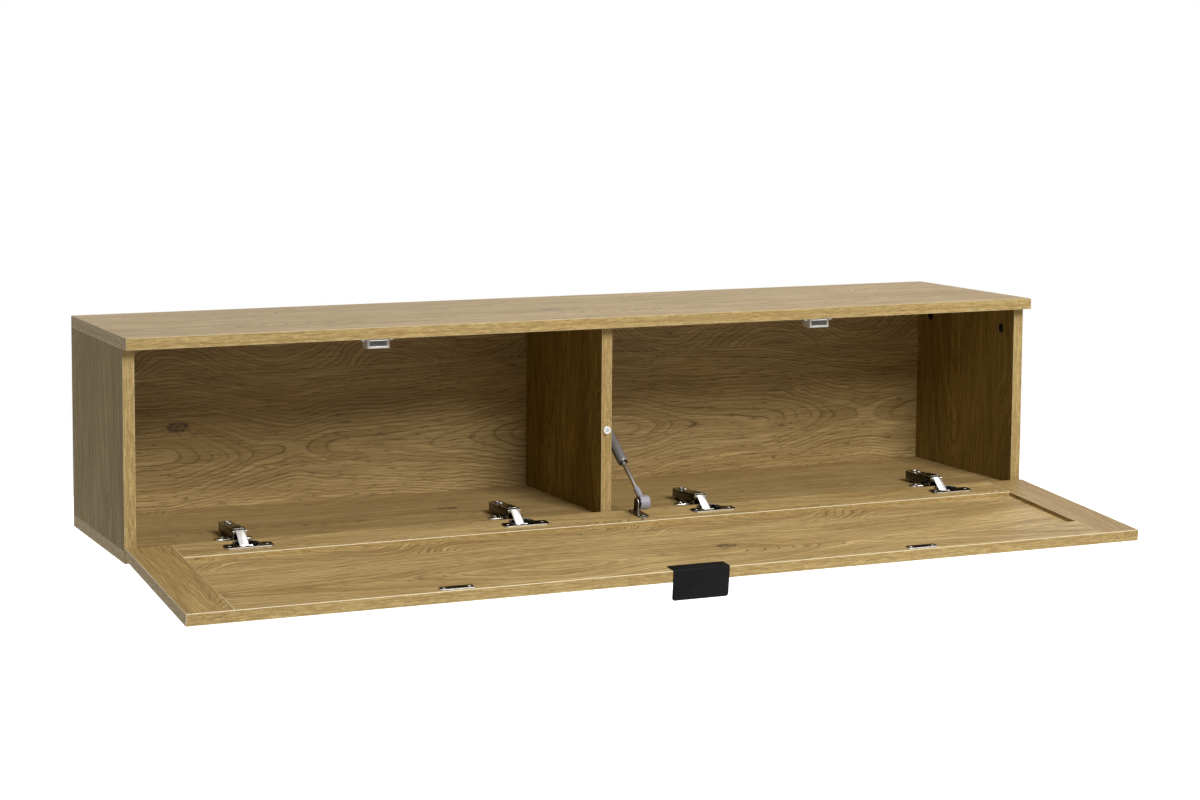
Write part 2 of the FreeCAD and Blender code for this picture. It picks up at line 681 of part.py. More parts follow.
def strut_frame():
    """Frame of the strut: origin at the lower ball, +Z towards the upper ball."""
    across = size("board") / 2 + size("strut_offset")
    ball = flap_frame().multVec(FreeCAD.Vector(across, -size("ball_along"), size("ball_rise")))
    turn = FreeCAD.Rotation(FreeCAD.Vector(1, 0, 0), size("strut_slope") - 90)
    return FreeCAD.Placement(ball, turn)


def upper_ball_point():
    """Point of the upper ball, flap open."""
    return strut_frame().multVec(FreeCAD.Vector(0, 0, size("strut_length")))


def hinge_centre(index):
    """X of a hinge, read from the sheet's sizes."""
    half = size("case_width") / 2
    places = (
        -half + size("hinge_left_inset"),
        -size("hinge_inner_left"),
        size("hinge_inner_right"),
        half - size("hinge_right_inset"),
    )
    return places[index]


# ---------------------------------------------------------------- case

def back_slot():
    """The tool that cuts the grooves of the back panel."""
    spread = "2 * Sizes.back_groove"
    lengths = (
        f"Sizes.case_width - 2 * Sizes.board + {spread}",
        "Sizes.back_thick",
        f"{SIDE_HEIGHT} + {spread}",
    )
    corner = (
        f"{LEFT} + Sizes.board - Sizes.back_groove",
        BACK_FACE,
        f"{FLOOR} - Sizes.back_groove",
    )
    return lengths, corner


def make_top_panel():
    """Top panel, over the sides and past them in front, bored from below."""
    blank = box(
        "top_blank",
        ("Sizes.case_width", "Sizes.case_depth + Sizes.top_overhang", "Sizes.board"),
        (LEFT, f"{FRONT} - Sizes.top_overhang", CEILING),
    )
    tools = [box("top_groove", *back_slot())]
    for column, centre in enumerate(UPRIGHT_CENTRES):
        for row, depth in enumerate(joint_rows()):
            spot = (centre, depth, CEILING)
            tools.append(cylinder(f"top_bolt_{column}{row}", "Sizes.bolt_radius", BOLT_GRIP, spot))
        for row, depth in enumerate(dowel_rows()):
            spot = (centre, depth, CEILING)
            tools.append(
                cylinder(f"top_dowel_{column}{row}", "Sizes.dowel_radius", "Sizes.dowel_in_panel", spot)
            )
    for number, across in enumerate(catch_screw_places()):
        spot = (across, CATCH_SCREW_Y, f"{CEILING} - Sizes.catch_roof")
        tools.append(screw_hole(f"top_pilot_{number}", spot, "Z"))
    keep(cut("top_panel", blank, tools), "top_panel")


def make_bottom_panel():
    """Bottom panel, under the sides, with screws from below and pilots for the hinges."""
    blank = box(
        "bottom_blank",
        ("Sizes.case_width", "Sizes.case_depth", "Sizes.board"),
        (LEFT, FRONT, UNDERSIDE),
    )
    tools = [box("bottom_groove", *back_slot())]
    for column, centre in enumerate(UPRIGHT_CENTRES):
        for row, depth in enumerate(joint_rows()):
            tools.append(confirmat(f"bottom_confirmat_{column}{row}", centre, depth))
        for row, depth in enumerate(dowel_rows()):
            spot = (centre, depth, f"{FLOOR} - Sizes.dowel_in_panel")
            tools.append(
                cylinder(f"bottom_dowel_{column}{row}", "Sizes.dowel_radius", "Sizes.dowel_in_panel", spot)
            )
    for number, across in enumerate(plate_screw_places()):
        spot = (across, f"{FRONT} + Sizes.plate_line", f"{FLOOR} + Sizes.plate_thick")
        tools.append(screw_hole(f"bottom_pilot_{number}", spot, "-Z"))
    keep(cut("bottom_panel", blank, tools), "bottom_panel")


def confirmat(name, across, depth):
    """One confirmat screw, driven up through the bottom panel."""
    spot = (across, depth, UNDERSIDE)
    head = cylinder(f"{name}_head", "Sizes.confirmat_head", "Sizes.confirmat_head_deep", spot)
    shank = cylinder(f"{name}_shank", "Sizes.confirmat_shank", "Sizes.confirmat_length", spot)
    return fuse(name, [head, shank])


def upright_bores(name, centre, face, into):
    """Bores of one upright board: cams from one face, bolts and dowels from its ends.

    face is the board face that the cams open to, and into is the way they are bored.
    """
    tools = []
    for row, depth in enumerate(joint_rows()):
        cam_spot = (face, depth, f"{CEILING} - Sizes.cam_drop")
        tools.append(cylinder(f"{name}_cam{row}", "Sizes.cam_radius", CAM_DEEP, cam_spot, into))
        bolt_spot = (centre, depth, f"{CEILING} - Sizes.cam_drop")
        tools.append(cylinder(f"{name}_bolt{row}", "Sizes.bolt_bore", "Sizes.cam_drop", bolt_spot))
        tools.append(confirmat(f"{name}_confirmat{row}", centre, depth))
    for row, depth in enumerate(dowel_rows()):
        high = (centre, depth, f"{CEILING} - Sizes.dowel_in_edge")
        low = (centre, depth, FLOOR)
        tools.append(cylinder(f"{name}_high{row}", "Sizes.dowel_radius", "Sizes.dowel_in_edge", high))
        tools.append(cylinder(f"{name}_low{row}", "Sizes.dowel_radius", "Sizes.dowel_in_edge", low))
    return tools


def make_side_panels():
    """Left and right side panels, standing on the bottom panel."""
    for (side, sign), centre in zip(SIDES, (UPRIGHT_CENTRES[0], UPRIGHT_CENTRES[2])):
        name = f"{side}_side_panel"
        blank = box(
            f"{name}_blank",
            ("Sizes.board", "Sizes.case_depth", SIDE_HEIGHT),
            (f"{centre} - Sizes.board / 2", FRONT, FLOOR),
        )
        face = f"({centre} - {sign} * Sizes.board / 2)"
        outward = "X" if sign > 0 else "-X"
        tools = upright_bores(name, centre, face, outward)
        tools.append(box(f"{name}_groove", *back_slot()))
        for row, height in enumerate(batten_dowel_heights()):
            tools.append(
                cylinder(f"{name}_batten{row}", "Sizes.batten_dowel_radius",
                         "Sizes.batten_dowel_in_side", (face, BATTEN_MIDDLE, height), outward)
            )
        keep(cut(name, blank, tools), name)


def make_centre_divider():
    """Divider at mid-length, from the front edges back to the back panel."""
    blank = box(
        "divider_blank",
        ("Sizes.board", f"{BACK_FACE} - {FRONT}", SIDE_HEIGHT),
        ("-Sizes.board / 2", FRONT, FLOOR),
    )
    tools = upright_bores("divider", UPRIGHT_CENTRES[1], "(Sizes.board / 2)", "-X")
    middle = ("0", FRONT, f"{UNDERSIDE} + Sizes.bumper_height")
    tools.append(cylinder("divider_stem", "Sizes.bumper_stem", "Sizes.bumper_stem_long", middle, "Y"))
    shank = shifted(middle, "-Y", f"{BUMPER_HEAD} - Sizes.bumper_screw_sunk")
    tools.append(
        cylinder("divider_shank", "Sizes.bumper_screw_shank", "Sizes.bumper_screw_long", shank, "Y")
    )
    for number, spot in enumerate(upper_screw_points()):
        tools.append(screw_hole(f"divider_pilot{number}", spot, "-X"))
    keep(cut("centre_divider", blank, tools), "centre_divider")


def make_back_panel():
    """Back panel, let into grooves all round."""
    keep(box("back_panel", *back_slot()), "back_panel")


# ---------------------------------------------------------------- case fasteners

def make_cam_locks():
    """Six cam locks below the top panel, each with a mouth for its bolt and a cross slot."""
    cams = []
    faces = (f"({LEFT} + Sizes.board)", "(Sizes.board / 2)", f"({RIGHT} - Sizes.board)")
    for column, (face, centre) in enumerate(zip(faces, UPRIGHT_CENTRES)):
        into = "X" if column == 2 else "-X"
        for row, depth in enumerate(joint_rows()):
            name = f"cam_{column}{row}"
            spot = (face, depth, f"{CEILING} - Sizes.cam_drop")
            seat = shifted(spot, into, "Sizes.cam_sunk")
            deep = f"{CAM_DEEP} - Sizes.cam_sunk"
            housing = cylinder(f"{name}_housing", "Sizes.cam_radius", deep, seat, into)
            mouth_spot = (centre, depth, f"{CEILING} - Sizes.cam_drop - Sizes.bolt_bore")
            mouth = cylinder(f"{name}_mouth", "Sizes.bolt_bore", "Sizes.cam_drop", mouth_spot)
            cams.append(cut(name, housing, [mouth, cross_recess(f"{name}_slot", seat, into)]))
    keep(group("cam_locks", cams), "cam_locks")


def make_cam_bolts():
    """Six cam bolts: a grip in the top panel and a shank down into the cam."""
    bolts = []
    for column, centre in enumerate(UPRIGHT_CENTRES):
        for row, depth in enumerate(joint_rows()):
            spot = (centre, depth, f"{CEILING} + {BOLT_GRIP}")
            reach = f"{BOLT_GRIP} + Sizes.cam_drop"
            bolts.append(cylinder(f"bolt_{column}{row}", "Sizes.bolt_radius", reach, spot, "-Z"))
    keep(group("cam_bolts", bolts), "cam_bolts")


def make_wood_dowels():
    """Beech dowels of the top, bottom and batten joints."""
    dowels = []
    whole = "Sizes.dowel_in_panel + Sizes.dowel_in_edge"
    for column, centre in enumerate(UPRIGHT_CENTRES):
        for row, depth in enumerate(dowel_rows()):
            high = (centre, depth, f"{CEILING} - Sizes.dowel_in_edge")
            low = (centre, depth, f"{FLOOR} - Sizes.dowel_in_panel")
            dowels.append(cylinder(f"dowel_high_{column}{row}", "Sizes.dowel_radius", whole, high))
            dowels.append(cylinder(f"dowel_low_{column}{row}", "Sizes.dowel_radius", whole, low))
    for side, sign in SIDES:
        for row, height in enumerate(batten_dowel_heights()):
            dowels.append(batten_dowel(f"dowel_batten_{side}{row}", sign, height))
    keep(group("wood_dowels", dowels), "wood_dowels")


def batten_dowel(name, sign, height):
    """One dowel between a side panel and the batten."""
    inner = f"({sign} * (Sizes.case_width / 2 - Sizes.board))"
    start = f"{inner} + {sign} * Sizes.batten_dowel_in_side"
    along = "-X" if sign > 0 else "X"
    return cylinder(name, "Sizes.batten_dowel_radius", "Sizes.batten_dowel_length",
                    (start, BATTEN_MIDDLE, height), along)


def make_confirmat_screws():
    """Six screws from below into the uprights."""
    screws = []
    for column, centre in enumerate(UPRIGHT_CENTRES):
        for row, depth in enumerate(joint_rows()):
            screws.append(confirmat(f"confirmat_{column}{row}", centre, depth))
    keep(group("confirmat_screws", screws), "confirmat_screws")


# ---------------------------------------------------------------- hanging

def make_hanging_batten():
    """Strip behind the back panel, under the top panel, that carries the case rail."""
    blank = box(
        "batten_blank",
        ("Sizes.case_width - 2 * Sizes.board", BATTEN_THICK, "Sizes.batten_height"),
        (f"{LEFT} + Sizes.board", "-Sizes.back_inset", f"{CEILING} - Sizes.batten_height"),
    )
    tools = []
    for side, sign in SIDES:
        for row, height in enumerate(batten_dowel_heights()):
            tools.append(batten_dowel(f"batten_bore_{side}{row}", sign, height))
    for number, across in enumerate(case_rail_screw_places()):
        tools.append(screw_hole(f"batten_pilot{number}", case_rail_seat(across), "-Y",
                                "Sizes.short_screw_length"))
    keep(cut("hanging_batten", blank, tools), "hanging_batten")


def case_rail_seat(across):
    """Seat of a case rail screw on the rail's rear face."""
    height = "Sizes.hook_line + Sizes.case_rail_height / 2"
    return (across, f"{BATTEN_REAR} + Sizes.rail_sheet", height)


def make_case_rail():
    """Steel rail on the batten, with a lip that points down behind the wall rail's lip."""
    body = DOC.addObject("PartDesign::Body", "case_rail_blank")
    sheet = "Sizes.rail_sheet"
    lip_rear = "-Sizes.rail_edge_gap"
    lip_end = "(Sizes.hook_line - Sizes.rail_lip + Sizes.rail_lip_gap)"
    points = [
        (BATTEN_REAR, "Sizes.hook_line + Sizes.case_rail_height"),
        (f"{BATTEN_REAR} + {sheet}", "Sizes.hook_line + Sizes.case_rail_height"),
        (f"{BATTEN_REAR} + {sheet}", f"Sizes.hook_line + {sheet}"),
        (lip_rear, f"Sizes.hook_line + {sheet}"),
        (lip_rear, lip_end),
        (f"{lip_rear} - {sheet}", lip_end),
        (f"{lip_rear} - {sheet}", "Sizes.hook_line"),
        (BATTEN_REAR, "Sizes.hook_line"),
    ]
    pad(body, "case_rail_pad", outline(body, "case_rail_outline", points), RAIL_LENGTH)
    tools = []
    for number, across in enumerate(case_rail_screw_places()):
        tools.append(screw_hole(f"case_rail_hole{number}", case_rail_seat(across), "-Y",
                                "Sizes.short_screw_length"))
    keep(cut("cabinet_hook_rail", body, tools), "cabinet_hook_rail")


def make_wall_rail():
    """Steel rail that is screwed to the wall, with a lip that points up."""
    body = DOC.addObject("PartDesign::Body", "wall_rail_blank")
    sheet = "Sizes.rail_sheet"
    lip_front = f"({BATTEN_REAR} + Sizes.rail_edge_gap)"
    web = "(Sizes.hook_line - Sizes.rail_lip)"
    points = [
        (lip_front, "Sizes.hook_line"),
        (f"{lip_front} + {sheet}", "Sizes.hook_line"),
        (f"{lip_front} + {sheet}", web),
        ("0", web),
        ("0", "-Sizes.wall_rail_drop"),
        (f"-{sheet}", "-Sizes.wall_rail_drop"),
        (f"-{sheet}", f"{web} - {sheet}"),
        (lip_front, f"{web} - {sheet}"),
    ]
    pad(body, "wall_rail_pad", outline(body, "wall_rail_outline", points), RAIL_LENGTH)
    tools = []
    for pair, offset in WALL_HOLES.items():
        for side, sign in SIDES:
            spot = (f"{sign} * {offset}", f"-{sheet}", "0")
            tools.append(cylinder(f"wall_hole_{pair}_{side}", "Sizes.wall_hole_radius", sheet, spot, "Y"))
    keep(cut("wall_rail", body, tools), "wall_rail")


def make_hook_rail_screws():
    """Six short screws that hold the case rail to the batten."""
    screws = []
    for number, across in enumerate(case_rail_screw_places()):
        screws.append(pan_screw(f"rail_screw{number}", case_rail_seat(across), "-Y",
                                "Sizes.short_screw_length"))
    keep(group("hook_rail_screws", screws), "hook_rail_screws")


# ---------------------------------------------------------------- hinges, case side

def make_hinge_plate(index, centre):
    """Mounting plate: two screwed wings and a spine that carries the arm."""
    name = f"hinge_plate_{index + 1}"
    middle = f"{FRONT} + Sizes.plate_line"
    span = "(Sizes.plate_span - Sizes.plate_wing)"
    wing = box(
        f"{name}_wing",
        (span, "Sizes.plate_wing", "Sizes.plate_thick"),
        (f"{centre} - {span} / 2", f"{middle} - Sizes.plate_wing / 2", FLOOR),
    )
    spine_width = "(Sizes.arm_width - 2 * Sizes.arm_sheet - 2 * Sizes.spine_play)"
    spine = box(
        f"{name}_spine",
        (spine_width, "Sizes.arm_reach - Sizes.spine_rear - Sizes.spine_front",
         "Sizes.arm_rise - Sizes.arm_sheet"),
        (f"{centre} - {spine_width} / 2", f"{FRONT} + Sizes.spine_front", FLOOR),
    )
    pieces = [wing, spine]
    tools = []
    for side, sign in SIDES:
        tip = (f"{centre} + {sign} * {span} / 2", middle, FLOOR)
        pieces.append(cylinder(f"{name}_tip_{side}", "Sizes.plate_wing / 2", "Sizes.plate_thick", tip))
        seat = (f"{centre} + {sign} * {PLATE_SCREW}", middle,
                f"{FLOOR} + Sizes.plate_thick")
        tools.append(screw_hole(f"{name}_hole_{side}", seat, "-Z"))
    for number, depth in enumerate(ARM_SCREW_ROWS):
        seat = (centre, f"{FRONT} + {depth}", f"{FLOOR} + Sizes.arm_rise")
        tools.append(screw_hole(f"{name}_thread{number}", seat, "-Z",
                                "Sizes.machine_screw_length", "Sizes.machine_screw_radius"))
    keep(cut(name, fuse(f"{name}_whole", pieces), tools), name)


def make_hinge_arm(index, centre):
    """Folded steel arm over the spine, with cheeks at its front end for the strap's pin."""
    name = f"hinge_arm_{index + 1}"
    body = DOC.addObject("PartDesign::Body", f"{name}_body")
    rise, hump = "Sizes.arm_rise", "Sizes.arm_rise + Sizes.arm_hump"
    nose = "Sizes.pivot_rise + Sizes.arm_nose_radius"
    run = "Sizes.arm_slope"
    points = [
        ("Sizes.arm_reach", "Sizes.arm_skirt"),
        ("Sizes.arm_reach", rise),
        ("Sizes.arm_flat_front", rise),
        (f"Sizes.arm_flat_front - {run}", hump),
        ("Sizes.pivot_back + Sizes.arm_brow", hump),
        ("Sizes.pivot_back", nose),
        ("Sizes.pivot_back", "Sizes.pivot_rise - Sizes.arm_nose_radius"),
        ("Sizes.pivot_back + Sizes.arm_chin", "Sizes.arm_skirt"),
    ]
    pad(body, f"{name}_pad", outline(body, f"{name}_side", points), "Sizes.arm_width")
    eye = ring(body, f"{name}_eye", "Sizes.arm_nose_radius", "Sizes.pivot_back", "Sizes.pivot_rise")
    pad(body, f"{name}_nose", eye, "Sizes.arm_width")
    inner_width = "Sizes.arm_width - 2 * Sizes.arm_sheet"
    beyond = f"Sizes.arm_reach + {PAST}"
    before = f"Sizes.pivot_back - Sizes.arm_nose_radius - {PAST}"
    channel = [
        (beyond, f"-{PAST}"),
        (beyond, f"{rise} - Sizes.arm_sheet"),
        ("Sizes.arm_flat_front", f"{rise} - Sizes.arm_sheet"),
        (f"Sizes.arm_flat_front - {run}", f"{hump} - Sizes.arm_sheet"),
        ("Sizes.arm_open_front", f"{hump} - Sizes.arm_sheet"),
        ("Sizes.arm_open_front", f"{hump} + {PAST}"),
        (before, f"{hump} + {PAST}"),
        (before, f"-{PAST}"),
    ]
    pocket(body, f"{name}_channel", outline(body, f"{name}_hollow", channel), inner_width)
    hole = ring(body, f"{name}_pin", "Sizes.pin_radius + Sizes.pin_fit", "Sizes.pivot_back",
                "Sizes.pivot_rise")
    pocket(body, f"{name}_pin_hole", hole, "2 * Sizes.arm_width")
    move(body, (centre, FRONT, FLOOR))
    tools = []
    for number, depth in enumerate(ARM_SCREW_ROWS):
        seat = (centre, f"{FRONT} + {depth}", f"{FLOOR} + {rise}")
        tools.append(screw_hole(f"{name}_hole{number}", seat, "-Z",
                                "Sizes.machine_screw_length", "Sizes.machine_screw_radius"))
    keep(cut(name, body, tools), name)


def make_case_hardware_screws():
    """Screws of the mounting plates, and the two of the strut's upper bracket."""
    screws = []
    for number, across in enumerate(plate_screw_places()):
        seat = (across, f"{FRONT} + Sizes.plate_line", f"{FLOOR} + Sizes.plate_thick")
        screws.append(pan_screw(f"plate_screw{number}", seat, "-Z"))
    for number, spot in enumerate(upper_screw_points()):
        screws.append(pan_screw(f"upper_screw{number}", spot, "-X"))
    keep(group("case_hardware_screws", screws), "case_hardware_screws")


def make_hinge_arm_screws():
    """Fixing and adjusting screws on top of each arm."""
    screws = []
    for index, centre in enumerate(HINGE_CENTRES):
        for number, depth in enumerate(ARM_SCREW_ROWS):
            name = f"arm_screw_{index}{number}"
            seat = (centre, f"{FRONT} + {depth}", f"{FLOOR} + Sizes.arm_rise")
            head = cylinder(f"{name}_head", "Sizes.screw_head", "Sizes.screw_head_high", seat)
            shank = cylinder(f"{name}_shank", "Sizes.machine_screw_radius",
                             "Sizes.machine_screw_length", seat, "-Z")
            face = shifted(seat, "Z", "Sizes.screw_head_high")
            whole = fuse(f"{name}_whole", [head, shank])
            screws.append(cut(name, whole, [cross_recess(f"{name}_recess", face, "Z")]))
    keep(group("hinge_arm_screws", screws), "hinge_arm_screws")


# ---------------------------------------------------------------- hinges, moving side

def make_hinge_strap(index):
    """Strap between arm and cup, rolled into an eye at each end."""
    name = f"hinge_strap_{index + 1}"
    body = DOC.addObject("PartDesign::Body", name)
    reach = str(strap_reach())
    front, rear = "-Sizes.strap_eye", "-Sizes.strap_eye + Sizes.strap_sheet"
    points = [(front, "0"), (front, f"-{reach}"), (rear, f"-{reach}"), (rear, "0")]
    pad(body, f"{name}_flat", outline(body, f"{name}_outline", points), STRAP_WIDTH)
    for number, height in enumerate(("0", f"-{reach}")):
        eye = ring(body, f"{name}_ring{number}", "Sizes.strap_eye", "0", height)
        pad(body, f"{name}_eye{number}", eye, STRAP_WIDTH)
    for number, height in enumerate(("0", f"-{reach}")):
        hole = ring(body, f"{name}_bore{number}", "Sizes.pin_radius", "0", height)
        pocket(body, f"{name}_hole{number}", hole, "2 * Sizes.arm_width")
    keep(body, name, strap_frame(hinge_centre(index)))


def make_hinge_pins():
    """Arm pins and cup pins, pressed into the straps."""
    pins = []
    arm_length = "Sizes.arm_width + 2 * Sizes.pin_proud"
    for index, centre in enumerate(HINGE_CENTRES):
        for label, point, length in (("arm", arm_pin_point(), arm_length),
                                     ("cup", cup_pin_point(), "Sizes.cup_pin_length")):
            spot = (f"{centre} - ({length}) / 2", str(point.y), str(point.z))
            pins.append(cylinder(f"{label}_pin_{index}", "Sizes.pin_radius", length, spot, "X"))
    keep(group("hinge_pins", pins), "hinge_pins")


def make_hinge_cup(index, centre):
    """Drawn steel cup with its screw flange, let into the flap, its rim open for the strap."""
    name = f"hinge_cup_{index + 1}"
    middle = "-Sizes.cup_centre"
    deep = "Sizes.cup_deep"
    flange = rounded_plate(
        f"{name}_flange",
        ("Sizes.flange_length", "Sizes.flange_width", "Sizes.flange_thick"),
        (f"{centre} - Sizes.flange_length / 2", f"-{FLANGE_FRONT}", "0"),
        size("flange_corner"),
    )
    rim = cylinder(f"{name}_rim", "Sizes.cup_radius + Sizes.rim_extra", "Sizes.flange_thick",
                   (centre, middle, "0"))
    shell = cylinder(f"{name}_shell", "Sizes.cup_radius", deep, (centre, middle, "0"), "-Z")
    whole = fuse(f"{name}_whole", [flange, rim, shell])
    inside = cylinder(
        f"{name}_inside",
        "Sizes.cup_radius - Sizes.cup_wall",
        f"{deep} - Sizes.cup_floor + Sizes.flange_thick + {PAST}",
        (centre, middle, f"-{deep} + Sizes.cup_floor"),
    )
    pin_hole = cylinder(
        f"{name}_pin_hole",
        "Sizes.pin_radius + Sizes.pin_fit",
        "2 * Sizes.cup_radius",
        (f"{centre} - Sizes.cup_radius", str(-cup_pin_along()), "-Sizes.cup_pin_deep"),
        "X",
    )
    gate_width = f"({STRAP_WIDTH} + 2 * Sizes.gate_play)"
    gate = box(
        f"{name}_gate",
        (gate_width, "Sizes.gate_reach", f"Sizes.gate_deep + Sizes.flange_thick + {PAST}"),
        (f"{centre} - {gate_width} / 2", "-Sizes.gate_reach", "-Sizes.gate_deep"),
    )
    tools = [inside, pin_hole, gate]
    for side, sign in SIDES:
        spot = (f"{centre} + {sign} * {CUP_SCREW}", CUP_SCREW_Y, "Sizes.flange_thick")
        tools.append(sink(f"{name}_sink_{side}", spot, "-Z", "Sizes.flange_thick"))
    keep(cut(name, whole, tools), name, flap_frame())


def make_flap_screws():
    """Countersunk screws of the cups and of the strut's lower bracket."""
    screws = []
    for number, across in enumerate(cup_screw_places()):
        spot = (across, CUP_SCREW_Y, "Sizes.flange_thick")
        screws.append(flat_screw(f"cup_screw{number}", spot, "-Z", "Sizes.flange_thick"))
    for number, along in enumerate(FOOT_SCREW_ROWS):
        spot = (FOOT_X, along, "Sizes.bracket_sheet")
        screws.append(flat_screw(f"foot_screw{number}", spot, "-Z", "Sizes.bracket_sheet"))
    keep(group("flap_hardware_screws", screws), "flap_hardware_screws", flap_frame())


# ---------------------------------------------------------------- flap

def tongue_height():
    """Low face of tongues and grooves in the flap's frame."""
    return "-Sizes.flap_thick + Sizes.tongue_face"


def make_stiles():
    """Left and right stiles, grooved on their inner edges."""
    for side, sign in SIDES:
        name = f"flap_{side}_stile"
        start = LEFT if sign < 0 else f"{RIGHT} - Sizes.stile_width"
        blank = box(
            f"{name}_blank",
            ("Sizes.stile_width", FLAP_HEIGHT, "Sizes.flap_thick"),
            (start, f"-{FLAP_HEIGHT}", "-Sizes.flap_thick"),
        )
        inner = f"{RIGHT} - Sizes.stile_width"
        if sign < 0:
            inner = f"{LEFT} + Sizes.stile_width - {GROOVE_DEEP}"
        groove = box(
            f"{name}_groove",
            (GROOVE_DEEP, f"{FLAP_HEIGHT} - 2 * Sizes.groove_stop", "Sizes.tongue_thick"),
            (inner, f"-{FLAP_HEIGHT} + Sizes.groove_stop", tongue_height()),
        )
        keep(cut(name, blank, [groove]), name, flap_frame())


def rail_blank(name, low, width, tongue_low):
    """A rail between the stiles, with a tongue at each end.

    low is the rail's far edge from the hinges, as a Y expression.
    """
    plank = box(
        f"{name}_plank",
        (PANEL_LENGTH, width, "Sizes.flap_thick"),
        (f"-{PANEL_LENGTH} / 2", low, "-Sizes.flap_thick"),
    )
    tongues = box(
        f"{name}_tongues",
        (TONGUE_SPAN, f"{width} - Sizes.groove_stop", "Sizes.tongue_thick"),
        (f"-{TONGUE_SPAN} / 2", tongue_low, tongue_height()),
    )
    return fuse(f"{name}_whole", [plank, tongues])


def make_hinge_rail():
    """Rail along the hinges: cup bores, pilots and a groove for the panel."""
    name = "flap_hinge_rail"
    width = "Sizes.hinge_rail_width"
    whole = rail_blank(name, f"-{width}", width, f"-{width}")
    tools = [
        box(f"{name}_groove", (TONGUE_SPAN, GROOVE_DEEP, "Sizes.tongue_thick"),
            (f"-{TONGUE_SPAN} / 2", f"-{width}", tongue_height()))
    ]
    for index, centre in enumerate(HINGE_CENTRES):
        spot = (centre, "-Sizes.cup_centre", "0")
        tools.append(cylinder(f"{name}_cup{index}", "Sizes.cup_radius", "Sizes.cup_deep", spot, "-Z"))
    for number, across in enumerate(cup_screw_places()):
        tools.append(screw_hole(f"{name}_pilot{number}", (across, CUP_SCREW_Y, "Sizes.flange_thick"), "-Z"))
    for number, along in enumerate(FOOT_SCREW_ROWS):
        tools.append(screw_hole(f"{name}_foot{number}", (FOOT_X, along, "Sizes.bracket_sheet"), "-Z"))
    keep(cut(name, whole, tools), name, flap_frame())


def make_handle_rail():
    """Rail along the handle: pilots for handle and strikes, and a groove for the panel."""
    name = "flap_handle_rail"
    width = "Sizes.handle_rail_width"
    far = f"-{FLAP_HEIGHT}"
    whole = rail_blank(name, far, width, f"{far} + Sizes.groove_stop")
    tools = [
        box(f"{name}_groove", (TONGUE_SPAN, GROOVE_DEEP, "Sizes.tongue_thick"),
            (f"-{TONGUE_SPAN} / 2", f"{far} + {width} - {GROOVE_DEEP}", tongue_height()))
    ]
    for number, across in enumerate(strike_screw_places()):
        tools.append(screw_hole(f"{name}_strike{number}", (across, STRIKE_Y, "Sizes.strike_thick"), "-Z"))
    for side, sign in SIDES:
        spot = (f"{sign} * {HANDLE_SCREW}", HANDLE_SCREW_Y, "Sizes.handle_sheet")
        tools.append(screw_hole(f"{name}_handle_{side}", spot, "-Z"))
    keep(cut(name, whole, tools), name, flap_frame())


def make_centre_panel():
    """Centre panel, flush outside and recessed inside, with a tongue all round."""
    opening = f"({FLAP_HEIGHT} - Sizes.hinge_rail_width - Sizes.handle_rail_width)"
    far = f"(-{FLAP_HEIGHT} + Sizes.handle_rail_width)"
    slab = box(
        "panel_slab",
        (PANEL_LENGTH, opening, "Sizes.flap_thick - Sizes.panel_recess"),
        (f"-{PANEL_LENGTH} / 2", far, "-Sizes.flap_thick"),
    )
    tongue = box(
        "panel_tongue",
        (TONGUE_SPAN, f"{opening} + 2 * Sizes.tongue_length", "Sizes.tongue_thick"),
        (f"-{TONGUE_SPAN} / 2", f"{far} - Sizes.tongue_length", tongue_height()),
    )
    keep(fuse("flap_centre_panel", [slab, tongue]), "flap_centre_panel", flap_frame())


# ---------------------------------------------------------------- catches, bumper, handle

def make_catch_housing(side, sign):
    """Catch body with two screw ears, open in front for the magnet and pole plates."""
    name = f"catch_housing_{side}"
    centre = f"({sign} * Sizes.catch_offset)"
    roof = f"{CEILING} - Sizes.catch_roof"
    body = box(
        f"{name}_body",
        ("Sizes.catch_width", "Sizes.catch_deep", CATCH_HEIGHT),
        (f"{centre} - Sizes.catch_width / 2", FRONT, f"{CEILING} - {CATCH_HEIGHT}"),
    )
    span = "(Sizes.catch_width + 2 * Sizes.ear_reach)"
    ears = rounded_plate(
        f"{name}_ears",
        (span, "Sizes.ear_deep", "Sizes.catch_roof"),
        (f"{centre} - {span} / 2", FRONT, roof),
        size("ear_corner"),
    )
    mouth = box(
        f"{name}_mouth",
        ("Sizes.catch_mouth", "Sizes.catch_mouth_deep", "Sizes.catch_mouth_high"),
        (f"{centre} - Sizes.catch_mouth / 2", FRONT, f"{roof} - Sizes.catch_mouth_high"),
    )
    tools = [mouth]
    for end, step in SIDES:
        seat = (f"{centre} + {step} * {CATCH_SCREW}", CATCH_SCREW_Y, roof)
        tools.append(screw_hole(f"{name}_hole_{end}", seat, "Z"))
    keep(cut(name, fuse(f"{name}_whole", [body, ears]), tools), name)


def pole_heights():
    """Low faces of the lower and upper pole plates."""
    low = f"({CEILING} - Sizes.catch_roof - Sizes.catch_mouth_high)"
    high = f"({CEILING} - Sizes.catch_roof - Sizes.pole_thick)"
    return [low, high]


def make_pole_plates():
    """Two steel pole plates in each catch, just proud of its mouth."""
    plates = []
    for side, sign in SIDES:
        for row, height in enumerate(pole_heights()):
            plates.append(box(
                f"pole_{side}{row}",
                ("Sizes.catch_mouth", f"Sizes.magnet_length + {POLE_PROUD}", "Sizes.pole_thick"),
                (f"{sign} * Sizes.catch_offset - Sizes.catch_mouth / 2", f"{FRONT} - {POLE_PROUD}", height),
            ))
    keep(group("catch_pole_plates", plates), "catch_pole_plates")


